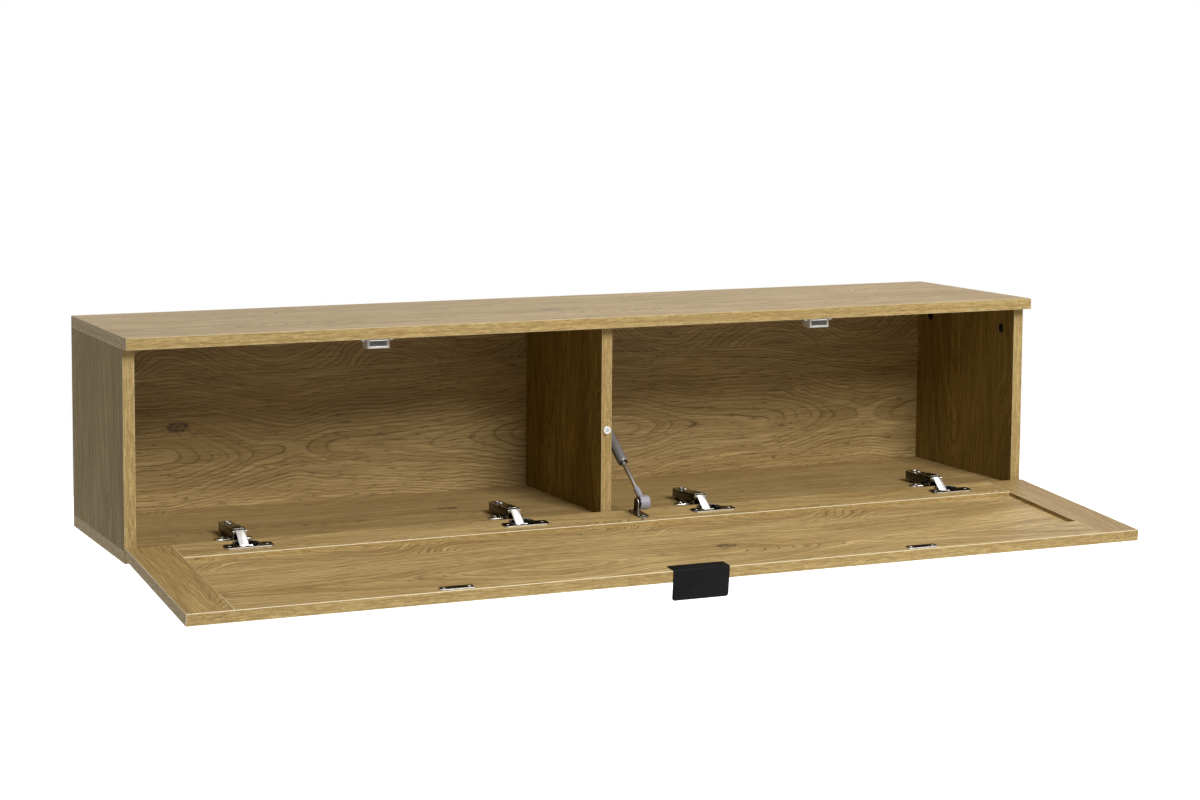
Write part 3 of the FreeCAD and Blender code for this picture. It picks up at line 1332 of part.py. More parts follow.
def make_catch_magnets():
    """The magnet between each pair of pole plates."""
    low, high = pole_heights()
    magnets = []
    for side, sign in SIDES:
        magnets.append(box(
            f"magnet_{side}",
            ("Sizes.catch_mouth", "Sizes.magnet_length", f"{high} - {low} - Sizes.pole_thick"),
            (f"{sign} * Sizes.catch_offset - Sizes.catch_mouth / 2", FRONT, f"{low} + Sizes.pole_thick"),
        ))
    keep(group("catch_magnets", magnets), "catch_magnets")


def make_catch_screws():
    """Four screws that hold the catches under the top panel."""
    screws = []
    for number, across in enumerate(catch_screw_places()):
        seat = (across, CATCH_SCREW_Y, f"{CEILING} - Sizes.catch_roof")
        screws.append(pan_screw(f"catch_screw{number}", seat, "Z"))
    keep(group("catch_screws", screws), "catch_screws")


def make_strike_plate(side, sign):
    """Steel strike plate on the flap, opposite a catch."""
    name = f"strike_plate_{side}"
    plate = rounded_plate(
        f"{name}_plate",
        ("Sizes.strike_length", "Sizes.strike_width", "Sizes.strike_thick"),
        (f"{sign} * Sizes.catch_offset - Sizes.strike_length / 2",
         f"{STRIKE_Y} - Sizes.strike_width / 2", "0"),
        size("strike_corner"),
    )
    tools = []
    for end, step in SIDES:
        spot = (f"{sign} * Sizes.catch_offset + {step} * {STRIKE_SCREW}", STRIKE_Y,
                "Sizes.strike_thick")
        tools.append(sink(f"{name}_sink_{end}", spot, "-Z", "Sizes.strike_thick"))
    keep(cut(name, plate, tools), name, flap_frame())


def make_strike_screws():
    """Four countersunk screws of the strike plates."""
    screws = []
    for number, across in enumerate(strike_screw_places()):
        spot = (across, STRIKE_Y, "Sizes.strike_thick")
        screws.append(flat_screw(f"strike_screw{number}", spot, "-Z", "Sizes.strike_thick"))
    keep(group("strike_screws", screws), "strike_screws", flap_frame())


def make_door_bumper():
    """Round bumper with a stem in the divider's front edge."""
    middle = ("0", FRONT, f"{UNDERSIDE} + Sizes.bumper_height")
    head = cylinder("bumper_disc", "Sizes.bumper_radius", BUMPER_HEAD, middle, "-Y")
    DOC.recompute()
    crown = round_edges("bumper_crown", head, size("bumper_round"), far_rim(head))
    stem = cylinder("bumper_stem", "Sizes.bumper_stem", "Sizes.bumper_stem_long", middle, "Y")
    face = shifted(middle, "-Y", BUMPER_HEAD)
    seat = cylinder("bumper_seat", "Sizes.bumper_screw_head", "Sizes.bumper_screw_sunk", face, "Y")
    bore = cylinder("bumper_bore", "Sizes.bumper_screw_shank",
                    f"{BUMPER_HEAD} + Sizes.bumper_stem_long", face, "Y")
    keep(cut("door_bumper", fuse("bumper_whole", [crown, stem]), [seat, bore]), "door_bumper")


def far_rim(disc):
    """A test for the rim of a cylinder's end face, the one away from its start."""
    tip = disc.Placement.multVec(FreeCAD.Vector(0, 0, float(disc.Height)))
    way = disc.Placement.Rotation.multVec(FreeCAD.Vector(0, 0, 1))

    def test(edge):
        return isinstance(edge.Curve, Part.Circle) and abs((edge.Curve.Center - tip).dot(way)) < 1e-6
    return test


def make_bumper_screw():
    """The screw in the middle of the bumper."""
    middle = ("0", FRONT, f"{UNDERSIDE} + Sizes.bumper_height")
    seat = shifted(middle, "-Y", f"{BUMPER_HEAD} - Sizes.bumper_screw_sunk")
    head = cylinder("bumper_screw_head", "Sizes.bumper_screw_head", "Sizes.bumper_screw_high", seat, "-Y")
    shank = cylinder("bumper_screw_shank", "Sizes.bumper_screw_shank", "Sizes.bumper_screw_long",
                     seat, "Y")
    keep(fuse("bumper_screw", [head, shank]), "bumper_screw")


def make_handle_tab():
    """Folded steel tab: a flange on the flap's inner face and a plate past its outer face."""
    body = DOC.addObject("PartDesign::Body", "handle_blank")
    sheet = "Sizes.handle_sheet"
    edge = f"-{FLAP_HEIGHT}"
    low = f"{sheet} - Sizes.handle_plate"
    points = [
        (f"{edge} - {sheet}", sheet),
        (f"{edge} - {sheet} + Sizes.handle_flange", sheet),
        (f"{edge} - {sheet} + Sizes.handle_flange", "0"),
        (edge, "0"),
        (edge, low),
        (f"{edge} - {sheet}", low),
    ]
    pad(body, "handle_pad", outline(body, "handle_outline", points), "Sizes.handle_length")
    fold_at = -flap_height() - size("handle_sheet")
    fold = round_edges("handle_fold", body, size("handle_bend"), on_line_x(fold_at, size("handle_sheet")))
    foot = size("handle_sheet") - size("handle_plate")
    corners = round_edges("handle_corners", fold, size("handle_corner"), across_y_at(foot))
    tools = []
    for side, sign in SIDES:
        spot = (f"{sign} * {HANDLE_SCREW}", HANDLE_SCREW_Y, sheet)
        tools.append(screw_hole(f"handle_hole_{side}", spot, "-Z"))
    keep(cut("handle_tab", corners, tools), "handle_tab", flap_frame())


def flap_height():
    """Height of the flap, read from the sheet's sizes."""
    return size("case_height") - size("board") - size("flap_top_gap")


def on_line_x(depth, height):
    """A test for the edge along X at one depth and height."""
    along = runs_along(FreeCAD.Vector(1, 0, 0))

    def test(edge):
        middle = edge.CenterOfMass
        return along(edge) and abs(middle.y - depth) < 1e-6 and abs(middle.z - height) < 1e-6
    return test


def across_y_at(height):
    """A test for the edges along Y at one height."""
    along = runs_along(FreeCAD.Vector(0, 1, 0))

    def test(edge):
        return along(edge) and abs(edge.CenterOfMass.z - height) < 1e-6
    return test


def make_handle_screws():
    """Two black screws in the handle's flange."""
    screws = []
    for side, sign in SIDES:
        spot = (f"{sign} * {HANDLE_SCREW}", HANDLE_SCREW_Y, "Sizes.handle_sheet")
        head = cylinder(f"handle_screw_{side}_head", "Sizes.handle_screw_head",
                        "Sizes.handle_screw_high", spot)
        shank = cylinder(f"handle_screw_{side}_shank", "Sizes.screw_radius", "Sizes.screw_length",
                         spot, "-Z")
        screws.append(fuse(f"handle_screw_{side}", [head, shank]))
    keep(group("handle_screws", screws), "handle_screws", flap_frame())


# ---------------------------------------------------------------- strut

def drum(name, at_height):
    """The drum of a socket about a ball, rounded on its closed side."""
    start = ("-Sizes.drum_length / 2", "0", at_height)
    blank = cylinder(f"{name}_drum", "Sizes.drum_radius", "Sizes.drum_length", start, "X")
    DOC.recompute()
    return round_edges(f"{name}_round", blank, size("drum_round"), far_rim(blank))


def socket_tools(name, at_height):
    """Mouth and ball seat of a socket."""
    start = ("-Sizes.drum_length / 2", "0", at_height)
    mouth = cylinder(f"{name}_mouth", "Sizes.drum_mouth", "Sizes.drum_mouth_deep", start, "X")
    seat = sphere(f"{name}_seat", "Sizes.ball_radius + Sizes.ball_fit", ("0", "0", at_height))
    return [mouth, seat]


def make_lower_socket():
    """Plastic socket on the rod's end, over the ball of the lower bracket."""
    name = "strut_lower_socket"
    neck = cylinder(f"{name}_neck", "Sizes.neck_radius", "Sizes.neck_reach", ("0", "0", "0"))
    whole = fuse(f"{name}_whole", [drum(name, "0"), neck])
    bore = cylinder(f"{name}_bore", "Sizes.rod_radius", "Sizes.rod_seat",
                    ("0", "0", "Sizes.neck_reach - Sizes.rod_seat"))
    keep(cut(name, whole, socket_tools(name, "0") + [bore]), name, strut_frame())


def make_strut_rod():
    """Bright rod from the lower socket into the tube."""
    start = "Sizes.neck_reach - Sizes.rod_seat"
    reach = f"Sizes.rod_seat + Sizes.rod_exposed + {GUIDE_END} + Sizes.piston_gap + Sizes.piston_length"
    rod = cylinder("rod_stock", "Sizes.rod_radius", reach, ("0", "0", start))
    keep(group("strut_rod", [rod]), "strut_rod", strut_frame())


def make_strut_piston():
    """Piston at the inner end of the rod."""
    name = "strut_piston"
    start = f"{TUBE_START} + {GUIDE_END} + Sizes.piston_gap"
    disc = cylinder(f"{name}_disc", "Sizes.tube_radius - Sizes.tube_wall - Sizes.piston_fit",
                    "Sizes.piston_length", ("0", "0", start))
    bore = cylinder(f"{name}_bore", "Sizes.rod_radius", "Sizes.piston_length", ("0", "0", start))
    keep(cut(name, disc, [bore]), name, strut_frame())


def make_strut_tube():
    """Grey tube of the strut."""
    long = f"({TUBE_END} - {TUBE_START})"
    outside = cylinder("tube_outside", "Sizes.tube_radius", long, ("0", "0", TUBE_START))
    inside = cylinder("tube_inside", "Sizes.tube_radius - Sizes.tube_wall", long, ("0", "0", TUBE_START))
    keep(cut("strut_tube", outside, [inside]), "strut_tube", strut_frame())


def make_rod_guide():
    """Black guide ring in the tube's lower end."""
    start = f"{TUBE_START} + Sizes.guide_sunk"
    disc = cylinder("guide_disc", "Sizes.tube_radius - Sizes.tube_wall", "Sizes.guide_length",
                    ("0", "0", start))
    bore = cylinder("guide_bore", "Sizes.rod_radius + Sizes.guide_fit", "Sizes.guide_length",
                    ("0", "0", start))
    keep(cut("strut_rod_guide", disc, [bore]), "strut_rod_guide", strut_frame())


def make_upper_socket():
    """Plastic socket at the tube's upper end, plugged into it."""
    name = "strut_upper_socket"
    top = "Sizes.strut_length"
    neck = cylinder(f"{name}_neck", "Sizes.tube_radius", "Sizes.neck_reach", ("0", "0", top), "-Z")
    plug = cylinder(f"{name}_plug", "Sizes.tube_radius - Sizes.tube_wall", "Sizes.tube_seat",
                    ("0", "0", TUBE_END), "-Z")
    whole = fuse(f"{name}_whole", [drum(name, top), neck, plug])
    keep(cut(name, whole, socket_tools(name, top)), name, strut_frame())


def make_upper_stud():
    """Upper ball stud with its collar."""
    name = "strut_upper_stud"
    top = "Sizes.strut_length"
    start = "(-Sizes.strut_offset + Sizes.bracket_sheet + Sizes.stud_gap)"
    collar = cylinder(f"{name}_collar", "Sizes.collar_radius", "Sizes.collar_length",
                      (start, "0", top), "X")
    shank = cylinder(f"{name}_shank", "Sizes.stud_radius", f"-{start}", (start, "0", top), "X")
    ball = sphere(f"{name}_ball", "Sizes.ball_radius", ("0", "0", top))
    keep(fuse(name, [collar, shank, ball]), name, strut_frame())


def upper_screw_points():
    """Seats of the upper bracket's screws, above and below the upper ball."""
    ball = upper_ball_point()
    face = "Sizes.board / 2 + Sizes.bracket_sheet"
    return [
        (face, str(ball.y), f"{ball.z} + {sign} * {BRACKET_SCREW}") for _, sign in SIDES
    ]


def make_upper_bracket():
    """Plate on the divider's right face that carries the upper ball stud."""
    name = "strut_upper_bracket"
    ball = upper_ball_point()
    blank = box(
        f"{name}_blank",
        ("Sizes.bracket_sheet", "Sizes.wall_plate_width", "Sizes.wall_plate_length"),
        ("Sizes.board / 2", f"{ball.y} - Sizes.wall_plate_width / 2",
         f"{ball.z} - Sizes.wall_plate_length / 2"),
    )
    plate = round_edges(f"{name}_plate", blank, size("wall_plate_corner"),
                        runs_along(FreeCAD.Vector(1, 0, 0)))
    tools = [screw_hole(f"{name}_hole{n}", spot, "-X") for n, spot in enumerate(upper_screw_points())]
    keep(cut(name, plate, tools), name)


def make_lower_bracket():
    """Foot on the flap's hinge rail with an upright ear and a ball stud."""
    name = "strut_lower_bracket"
    left = f"({STRUT_X} - Sizes.foot_left)"
    sheet = "Sizes.bracket_sheet"
    foot = rounded_plate(
        f"{name}_foot",
        ("Sizes.foot_width", "Sizes.foot_length", sheet),
        (left, "-Sizes.foot_start - Sizes.foot_length", "0"),
        size("foot_corner"),
    )
    ear = box(
        f"{name}_ear",
        (sheet, "2 * Sizes.ear_radius", "Sizes.ball_rise"),
        (left, "-Sizes.ball_along - Sizes.ear_radius", "0"),
    )
    crown = cylinder(f"{name}_crown", "Sizes.ear_radius", sheet,
                     (left, "-Sizes.ball_along", "Sizes.ball_rise"), "X")
    stud = cylinder(f"{name}_stud", "Sizes.stud_radius", "Sizes.foot_left",
                    (left, "-Sizes.ball_along", "Sizes.ball_rise"), "X")
    ball = sphere(f"{name}_ball", "Sizes.ball_radius", (STRUT_X, "-Sizes.ball_along", "Sizes.ball_rise"))
    whole = fuse(f"{name}_whole", [foot, ear, crown, stud, ball])
    tools = []
    for number, along in enumerate(FOOT_SCREW_ROWS):
        tools.append(sink(f"{name}_sink{number}", (FOOT_X, along, sheet), "-Z", sheet))
    keep(cut(name, whole, tools), name, flap_frame())


# ---------------------------------------------------------------- whole console

def make_case():
    """The case, its fasteners and its hanging rails."""
    make_top_panel()
    make_bottom_panel()
    make_side_panels()
    make_centre_divider()
    make_back_panel()
    make_cam_locks()
    make_cam_bolts()
    make_wood_dowels()
    make_confirmat_screws()
    make_hanging_batten()
    make_case_rail()
    make_wall_rail()
    make_hook_rail_screws()


def make_hinges():
    """Four hinges: plate and arm on the case, strap between, cup in the flap."""
    for index, centre in enumerate(HINGE_CENTRES):
        make_hinge_plate(index, centre)
        make_hinge_arm(index, centre)
        make_hinge_strap(index)
        make_hinge_cup(index, centre)
    make_case_hardware_screws()
    make_hinge_arm_screws()
    make_hinge_pins()
    make_flap_screws()


def make_flap():
    """Frame-and-panel flap with its handle."""
    make_stiles()
    make_hinge_rail()
    make_handle_rail()
    make_centre_panel()
    make_handle_tab()
    make_handle_screws()


def make_catches():
    """Magnetic catches, strike plates and bumper."""
    for side, sign in SIDES:
        make_catch_housing(side, sign)
        make_strike_plate(side, sign)
    make_pole_plates()
    make_catch_magnets()
    make_catch_screws()
    make_strike_screws()
    make_door_bumper()
    make_bumper_screw()


def make_strut():
    """Soft-down strut beside the divider, with its brackets."""
    make_lower_socket()
    make_strut_rod()
    make_strut_piston()
    make_strut_tube()
    make_rod_guide()
    make_upper_socket()
    make_upper_stud()
    make_upper_bracket()
    make_lower_bracket()


def check_document():
    """Stop if any object failed or any sub-part has no valid solid."""
    for item in DOC.Objects:
        if "Invalid" in item.State or "Error" in item.State:
            raise RuntimeError(f"{item.Name}: {item.State}")
    for label, piece in PARTS.items():
        shape = piece.Shape
        if shape.isNull() or not shape.isValid() or not shape.Solids:
            raise RuntimeError(f"{label}: no valid solid")


def write_parts():
    """Write one STEP file for each sub-part."""
    os.makedirs("parts", exist_ok=True)
    for label, piece in PARTS.items():
        piece.Shape.exportStep(f"parts/{label}.step")
        solids = len(piece.Shape.Solids)
        print(f"{label}: {solids} solid(s), {piece.Shape.Volume:.0f} mm3")
    print(f"{len(PARTS)} sub-parts")


fill_sheet()
make_case()
make_hinges()
make_flap()
make_catches()
make_strut()
DOC.recompute()
check_document()
write_parts()
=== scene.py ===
import logging
import math
from dataclasses import dataclass, field
from enum import Enum, IntEnum
from functools import cache

import bmesh
import bpy
from mathutils import Matrix, Vector


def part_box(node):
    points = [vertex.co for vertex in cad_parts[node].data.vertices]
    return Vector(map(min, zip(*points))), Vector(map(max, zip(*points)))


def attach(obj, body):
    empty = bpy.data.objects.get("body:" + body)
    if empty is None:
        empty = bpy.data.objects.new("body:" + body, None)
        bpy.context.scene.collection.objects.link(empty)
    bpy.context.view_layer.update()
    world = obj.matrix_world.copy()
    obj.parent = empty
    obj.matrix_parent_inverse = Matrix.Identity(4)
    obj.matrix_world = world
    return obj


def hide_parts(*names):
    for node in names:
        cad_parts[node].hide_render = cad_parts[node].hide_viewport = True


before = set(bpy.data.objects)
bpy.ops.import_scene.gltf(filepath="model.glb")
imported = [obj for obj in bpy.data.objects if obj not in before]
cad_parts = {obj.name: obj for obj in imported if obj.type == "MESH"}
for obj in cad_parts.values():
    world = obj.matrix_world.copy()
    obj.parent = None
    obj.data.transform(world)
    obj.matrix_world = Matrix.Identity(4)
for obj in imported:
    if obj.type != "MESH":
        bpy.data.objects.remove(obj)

# A wall-hung oak media console with its drop-down flap open.
# Frame: +X along the length, +Y towards the wall, +Z up, in metres.
# Sizes below are in millimetres, apart from the lamps'; MM turns them to metres.

LOG = logging.getLogger("media_console")
MM = 0.001

Tree = bpy.types.NodeTree
Socket = bpy.types.NodeSocket
Material = bpy.types.Material
Point = tuple[float, float, float]
Stops = tuple[tuple[float, float], ...]

# How a fitting's copy is cleaned and rounded.
WELD_MM = 0.002         # corners closer than this are one
FLAT_DEG = 2.0          # faces that turn less than this are one flat
ROUND_DEG = 60.0        # edges that turn more than this are rounded
SHARP_DEG = 32.0        # edges that turn more than this aren't shaded smooth
LONG_WALL_MM = 15.0     # walls longer than this are plates' sides, not steps of a round one

# The cylinder that cuts a bore.
BORE_SPARE_MM = 1.0     # it starts this far outside the board
BORE_SIDES = 48

# How the faces of a board are told apart.
SKIN_MM = 0.02          # a face this close to the board's box is on its skin
SQUARE_ON = 0.999       # a normal with more than this along one axis looks straight along it
ARRIS_REACH = 1.5       # an arris reaches this many times its size into the board


class Way(Enum):
    """An axis of the frame, and its place in a vector."""

    X = 0
    Y = 1
    Z = 2


# ---------------------------------------------------------------- shared helpers

def linear(code: str) -> tuple[float, float, float, float]:
    """Turn an sRGB hex colour to linear RGBA.

    Args:
        code: The colour as "#RRGGBB".

    Returns:
        Red, green, blue and an alpha of 1, ready for a socket.
    """
    channels = []
    for start in (1, 3, 5):
        value = int(code[start:start + 2], 16) / 255
        channels.append(value / 12.92 if value <= 0.04045 else ((value + 0.055) / 1.055) ** 2.4)
    return (channels[0], channels[1], channels[2], 1.0)


def add_node(tree: Tree, kind: str, feeds: dict | None = None,
             **settings: object) -> bpy.types.Node:
    """Add one node to a tree.

    Args:
        tree: The node tree.
        kind: The node's type name.
        feeds: For each input, by name or number, a value to set, a socket to link, or a node
            that stands for its first output.
        settings: The node's own properties.

    Returns:
        The new node.
    """
    made = tree.nodes.new(kind)
    for name, value in settings.items():
        setattr(made, name, value)
    for key, feed in (feeds or {}).items():
        if isinstance(feed, bpy.types.Node):
            feed = feed.outputs[0]
        if isinstance(feed, Socket):
            tree.links.new(feed, made.inputs[key])
        else:
            made.inputs[key].default_value = feed
    return made


def set_ramp(ramp_node: bpy.types.Node, stops: Stops) -> None:
    """Give a colour ramp its grey stops.

    Args:
        ramp_node: The ramp.
        stops: Position and grey level of each stop, in order.
    """
    ramp = ramp_node.color_ramp
    while len(ramp.elements) < len(stops):
        ramp.elements.new(1.0)
    for element, (position, grey) in zip(ramp.elements, stops):
        element.position = position
        element.color = (grey, grey, grey, 1.0)


def new_material(name: str) -> tuple[Material, Tree]:
    """Make an empty node material.

    Args:
        name: The material's name.

    Returns:
        The material and its tree, with no nodes in it.
    """
    material = bpy.data.materials.new(name)
    material.use_nodes = True
    material.node_tree.nodes.clear()
    return material, material.node_tree


def add_object(name: str, data: bpy.types.ID) -> bpy.types.Object:
    """Put a mesh, a lamp or a camera into the scene as an object of its own.

    Args:
        name: The object's name.
        data: The mesh, lamp or camera.

    Returns:
        The new object.
    """
    made = bpy.data.objects.new(name, data)
    bpy.context.scene.collection.objects.link(made)
    return made


def apply_modifiers(piece: bpy.types.Object) -> None:
    """Replace a piece's mesh by its mesh with all modifiers applied.

    Args:
        piece: The object, whose modifiers are then removed.
    """
    bpy.context.view_layer.update()
    shown = piece.evaluated_get(bpy.context.evaluated_depsgraph_get())
    mesh = bpy.data.meshes.new_from_object(shown)
    piece.modifiers.clear()
    piece.data = mesh


# ---------------------------------------------------------------- oak finishes

class Figure(Enum):
    """What the print shows: whole planks with cathedral figure, or plain straight grain."""

    PLANKS = "planks"
    STRAIGHT = "straight"


@dataclass(frozen=True)
class Blots:
    """Soft noise on the print: size of its blots in millimetres, how fine, and how strong."""

    length: float
    width: float
    detail: float = 1.0
    lift: float = 1.0       # how much of it is added


@dataclass(frozen=True)
class Knot:
    """A knot of the print, in millimetres of the print's own plane."""

    along: float
    across: float
    length: float
    width: float
    dark: float
    lines: float            # how many rings it lifts the print by
    repeats: bool = True    # whether it shows again one repeat further along


# Rise and fall of the growth rings along one repeat of the print: place as a share of the
# repeat, and height as a share of the tallest. A ring line's pointed end lies wherever a ring
# is reached, so close stops give nested arcs and wide ones long tongues.
CREST = (
    (0.0, 0.0), (0.021, 0.045), (0.052, 0.136), (0.175, 0.227), (0.234, 0.318), (0.291, 0.409),
    (0.327, 0.50), (0.359, 0.591), (0.39, 0.682), (0.431, 0.79), (0.483, 0.91), (0.556, 1.0),
    (0.655, 0.70), (0.811, 0.60), (0.844, 0.50), (0.865, 0.409), (0.891, 0.318), (0.912, 0.227),
    (0.934, 0.136), (0.981, 0.045), (1.0, 0.0),
)
# Levels of grey. A growth line darkens slowly through its ring and ends sharply.
RING_LINE = ((0.0, 0.38), (0.05, 0.06), (0.40, 0.0), (0.72, 0.16), (0.83, 0.38), (0.905, 1.0),
             (0.97, 0.95), (1.0, 0.6))
LINE_STRENGTH = ((0.34, 0.22), (0.62, 1.0))
# A knot's level from its outside in: nothing, a dark rim, a paler middle, a dark pith.
KNOT_RIM = ((0.20, 0.0), (0.42, 0.45), (0.52, 1.0), (0.66, 0.9), (0.86, 0.35), (1.0, 0.85))
FIBRE_CUT = ((0.38, 0.0), (0.62, 1.0))
PORE_CUT = ((0.58, 0.0), (0.72, 1.0))

KNOTS = (
    Knot(-552.0, -88.0, 17.0, 8.0, 0.85, 1.6, False),
    Knot(438.0, -82.0, 24.0, 7.0, 0.22, 1.4, False),
    Knot(-311.0, -111.0, 5.0, 2.6, 0.6, 0.3),
    Knot(-541.0, -192.0, 4.5, 2.4, 0.6, 0.3),
    Knot(-94.0, -128.0, 5.0, 3.0, 0.6, 0.3),
    Knot(-76.0, -139.0, 4.0, 2.4, 0.55, 0.3),
    Knot(235.0, 12.0, 5.0, 2.6, 0.6, 0.4),
)
KNOT_SWELL = 1.6        # the rings swell round a knot as far out as this many of its sizes
KNOT_CORE = 0.95        # and the dark of a knot reaches this many
KNOT_RAGS = Blots(5.0, 3.5, detail=2.0, lift=0.9)   # its ragged rim

BENDING = Blots(170.0, 50.0, detail=2.0)        # how the grain wanders across a board
PATCHES = Blots(420.0, 50.0, detail=2.0)        # broad paler and browner patches
STRAIGHT_BOLD = Blots(260.0, 26.0, detail=2.0)  # where the lines of straight grain are bold
PLANK_BOLD = Blots(240.0, 30.0, detail=2.0)     # where the lines of the planks are bold
WAVE_SWAY = Blots(190.0, 60.0, lift=90.0)       # how far waves stray along the grain, in mm
# How far growth rings stray from their drawn height, in rings.
STRAIGHT_RIPPLE = (Blots(420.0, 90.0, lift=2.4), Blots(90.0, 24.0, lift=0.9),
                   Blots(26.0, 8.0, lift=0.25))
CATHEDRAL_RIPPLE = (Blots(210.0, 45.0, lift=1.5), Blots(60.0, 18.0, lift=0.3))
WAVY_RIPPLE = (Blots(110.0, 40.0, lift=2.6), Blots(45.0, 15.0, lift=0.7))

FAR_MM = 1.0e4          # further than any board reaches
NOISE_ROUGH = 0.55      # how strong the finer detail of a noise is
NOISE_SPAN = 4.0        # noise swings by about a quarter either way; this brings that to one
TONES_PER_RING = 0.9    # a ring and the next are seldom of one tone
TONE_FLOOR = 0.72       # where both tone noises together stay below this, the ring is pale
TONE_CUT = (0.02, 0.54)     # above the floor, from where a ring turns brown to where it is brownest
PORE_SHARE = 0.2        # length of a pore, as a share of a fibre's


@dataclass(frozen=True)
class OakFoil:
    """Oak-pattern foil, printed and embossed, laminated on particle board.

    The roll repeats one pattern of glued planks. The print gives growth lines and pores in three
    browns, and the embossing a satin sheen.
    """

    name: str
    grain: Way
    across: Way
    figure: Figure = Figure.PLANKS
    ways: tuple[float, float] = (1.0, 1.0)      # sign of the print along and across the board
    shift: tuple[float, float] = (0.0, 0.0)     # place of the board on the roll
    pale: str = "#CBB079"
    brown: str = "#8A6E3E"
    line: str = "#4A3618"
    knot: str = "#33230F"
    repeat_mm: float = 962.0    # length once round the printing roller
    row_mm: float = 270.0       # width of one row of planks
    row_low: float = -225.0     # lower edge of the first row
    row_slip: float = 380.0     # each row starts this much further along
    joint: float = -12.0        # edge between the cathedral plank and the wavy one
    heart: float = -130.0       # middle of the cathedral figure
    crest_start: float = -375.0     # where its crest begins
    crest_lines: float = 11.0   # height of the tallest crest, in rings
    tip_mm: float = 13.0        # half-width of a ring's pointed end
    ring_mm: float = 9.5        # spacing of the rings beside the heart
    crowding: float = 1.25      # rings crowd together away from the heart, by this power
    wavy_mm: float = 6.5        # spacing of the rings in the wavy plank
    wave_mm: float = 320.67     # length of the waves in the wavy plank, three to a repeat
    wave_start: float = -475.0  # where a wave begins
    wave_lines: float = 4.2     # swing of its waves, in rings
    wave_lean: float = 0.5      # the waves lean along the grain as they rise, like flames
    wavy_bold: float = 0.15     # the wavy plank's lines are this much bolder
    line_depth: float = 0.68
    tone_depth: float = 0.66    # unlike tone of neighbouring rings
    ring_bend: float = 5.0      # the cathedral's rings bend across the grain by up to this
    fibre_bend: float = 3.0     # and the fibres and pores by up to this
    fibre_long: float = 95.0
    fibre_mm: float = 2.1       # real fibres are about 0.3 mm; drawn coarser so that they show
    fibre_depth: float = 0.70
    pore_mm: float = 1.8        # real pores are about 0.3 mm wide; drawn coarser so that they show
    pore_depth: float = 0.58
    roughness: float = 0.46
    fibre_dull: float = 0.10    # fibres are this much duller
    emboss: float = 0.25        # strength of the embossed pores
    emboss_mm: float = 0.12     # and their depth
    ior: float = 1.47
    seed: float = 0.0           # another slice of the same noise, in millimetres

    def material(self) -> Material:
        """Build the material.

        Returns:
            The finished oak.
        """
        material, tree = new_material(self.name)
        place = self._place(tree)
        if self.figure is Figure.PLANKS:
            place = self._row(tree, place)
            height, bold = self._planks(tree, place)
        else:
            height, bold = self._straight(tree, place)
        lines = self._lines(tree, height, bold)
        bent = self._bent(tree, place, self.fibre_bend)
        fibre = Blots(self.fibre_long, self.fibre_mm, detail=5.0)
        pore = Blots(PORE_SHARE * self.fibre_long, self.pore_mm)
        fibres = self._streaks(tree, bent, fibre, FIBRE_CUT)
        pores = self._streaks(tree, bent, pore, PORE_CUT)
        colour = self._colour(tree, place, height, lines, fibres, pores)
        self._surface(tree, colour, fibres, pores)
        return material

    def _place(self, tree: Tree) -> Socket:
        """Find the position on the roll in millimetres.

        Args:
            tree: The material's tree.

        Returns:
            Along the grain, across it, and through the board.
        """
        spot = add_node(tree, "ShaderNodeTexCoord")
        parts = add_node(tree, "ShaderNodeSeparateXYZ", {0: spot.outputs["Object"]})
        through = 3 - self.grain.value - self.across.value
        turned = add_node(tree, "ShaderNodeCombineXYZ", {
            0: parts.outputs[self.grain.value],
            1: parts.outputs[self.across.value],
            2: parts.outputs[through],
        })
        moved = add_node(tree, "ShaderNodeVectorMath", {
            0: turned,
            1: (self.ways[0] / MM, self.ways[1] / MM, 1 / MM),
            2: (self.shift[0], self.shift[1], self.seed),
        }, operation="MULTIPLY_ADD")
        return moved.outputs[0]

    def _row(self, tree: Tree, place: Socket) -> Socket:
        """Fold the roll's width into one row of planks, each row slipped along.

        Args:
            tree: The material's tree.
            place: Position on the roll.

        Returns:
            Position on the row.
        """
        parts = add_node(tree, "ShaderNodeSeparateXYZ", {0: place})
        raised = add_node(tree, "ShaderNodeMath", {0: parts.outputs[1], 1: self.row_low},
                          operation="SUBTRACT")
        rows = add_node(tree, "ShaderNodeMath", {0: raised, 1: self.row_mm}, operation="DIVIDE")
        row = add_node(tree, "ShaderNodeMath", {0: rows}, operation="FLOOR")
        along = add_node(tree, "ShaderNodeMath", {0: row, 1: self.row_slip, 2: parts.outputs[0]},
                         operation="MULTIPLY_ADD")
        across = add_node(tree, "ShaderNodeMath", {0: row, 1: -self.row_mm, 2: parts.outputs[1]},
                          operation="MULTIPLY_ADD")
        folded = add_node(tree, "ShaderNodeCombineXYZ", {0: along, 1: across, 2: parts.outputs[2]})
        return folded.outputs[0]

    def _cloud(self, tree: Tree, place: Socket, blots: Blots) -> Socket:
        """Lay soft noise over the print.

        Args:
            tree: The material's tree.
            place: Position on the print.
            blots: Size and detail of the noise.

        Returns:
            The noise, from 0 to 1.
        """
        spread = add_node(tree, "ShaderNodeMapping", {
            "Vector": place, "Scale": (1 / blots.length, 1 / blots.width, 1 / blots.width),
        })
        cloud = add_node(tree, "ShaderNodeTexNoise", {
            "Vector": spread, "Scale": 1.0, "Detail": blots.detail, "Roughness": NOISE_ROUGH,
        })
        return cloud.outputs["Fac"]

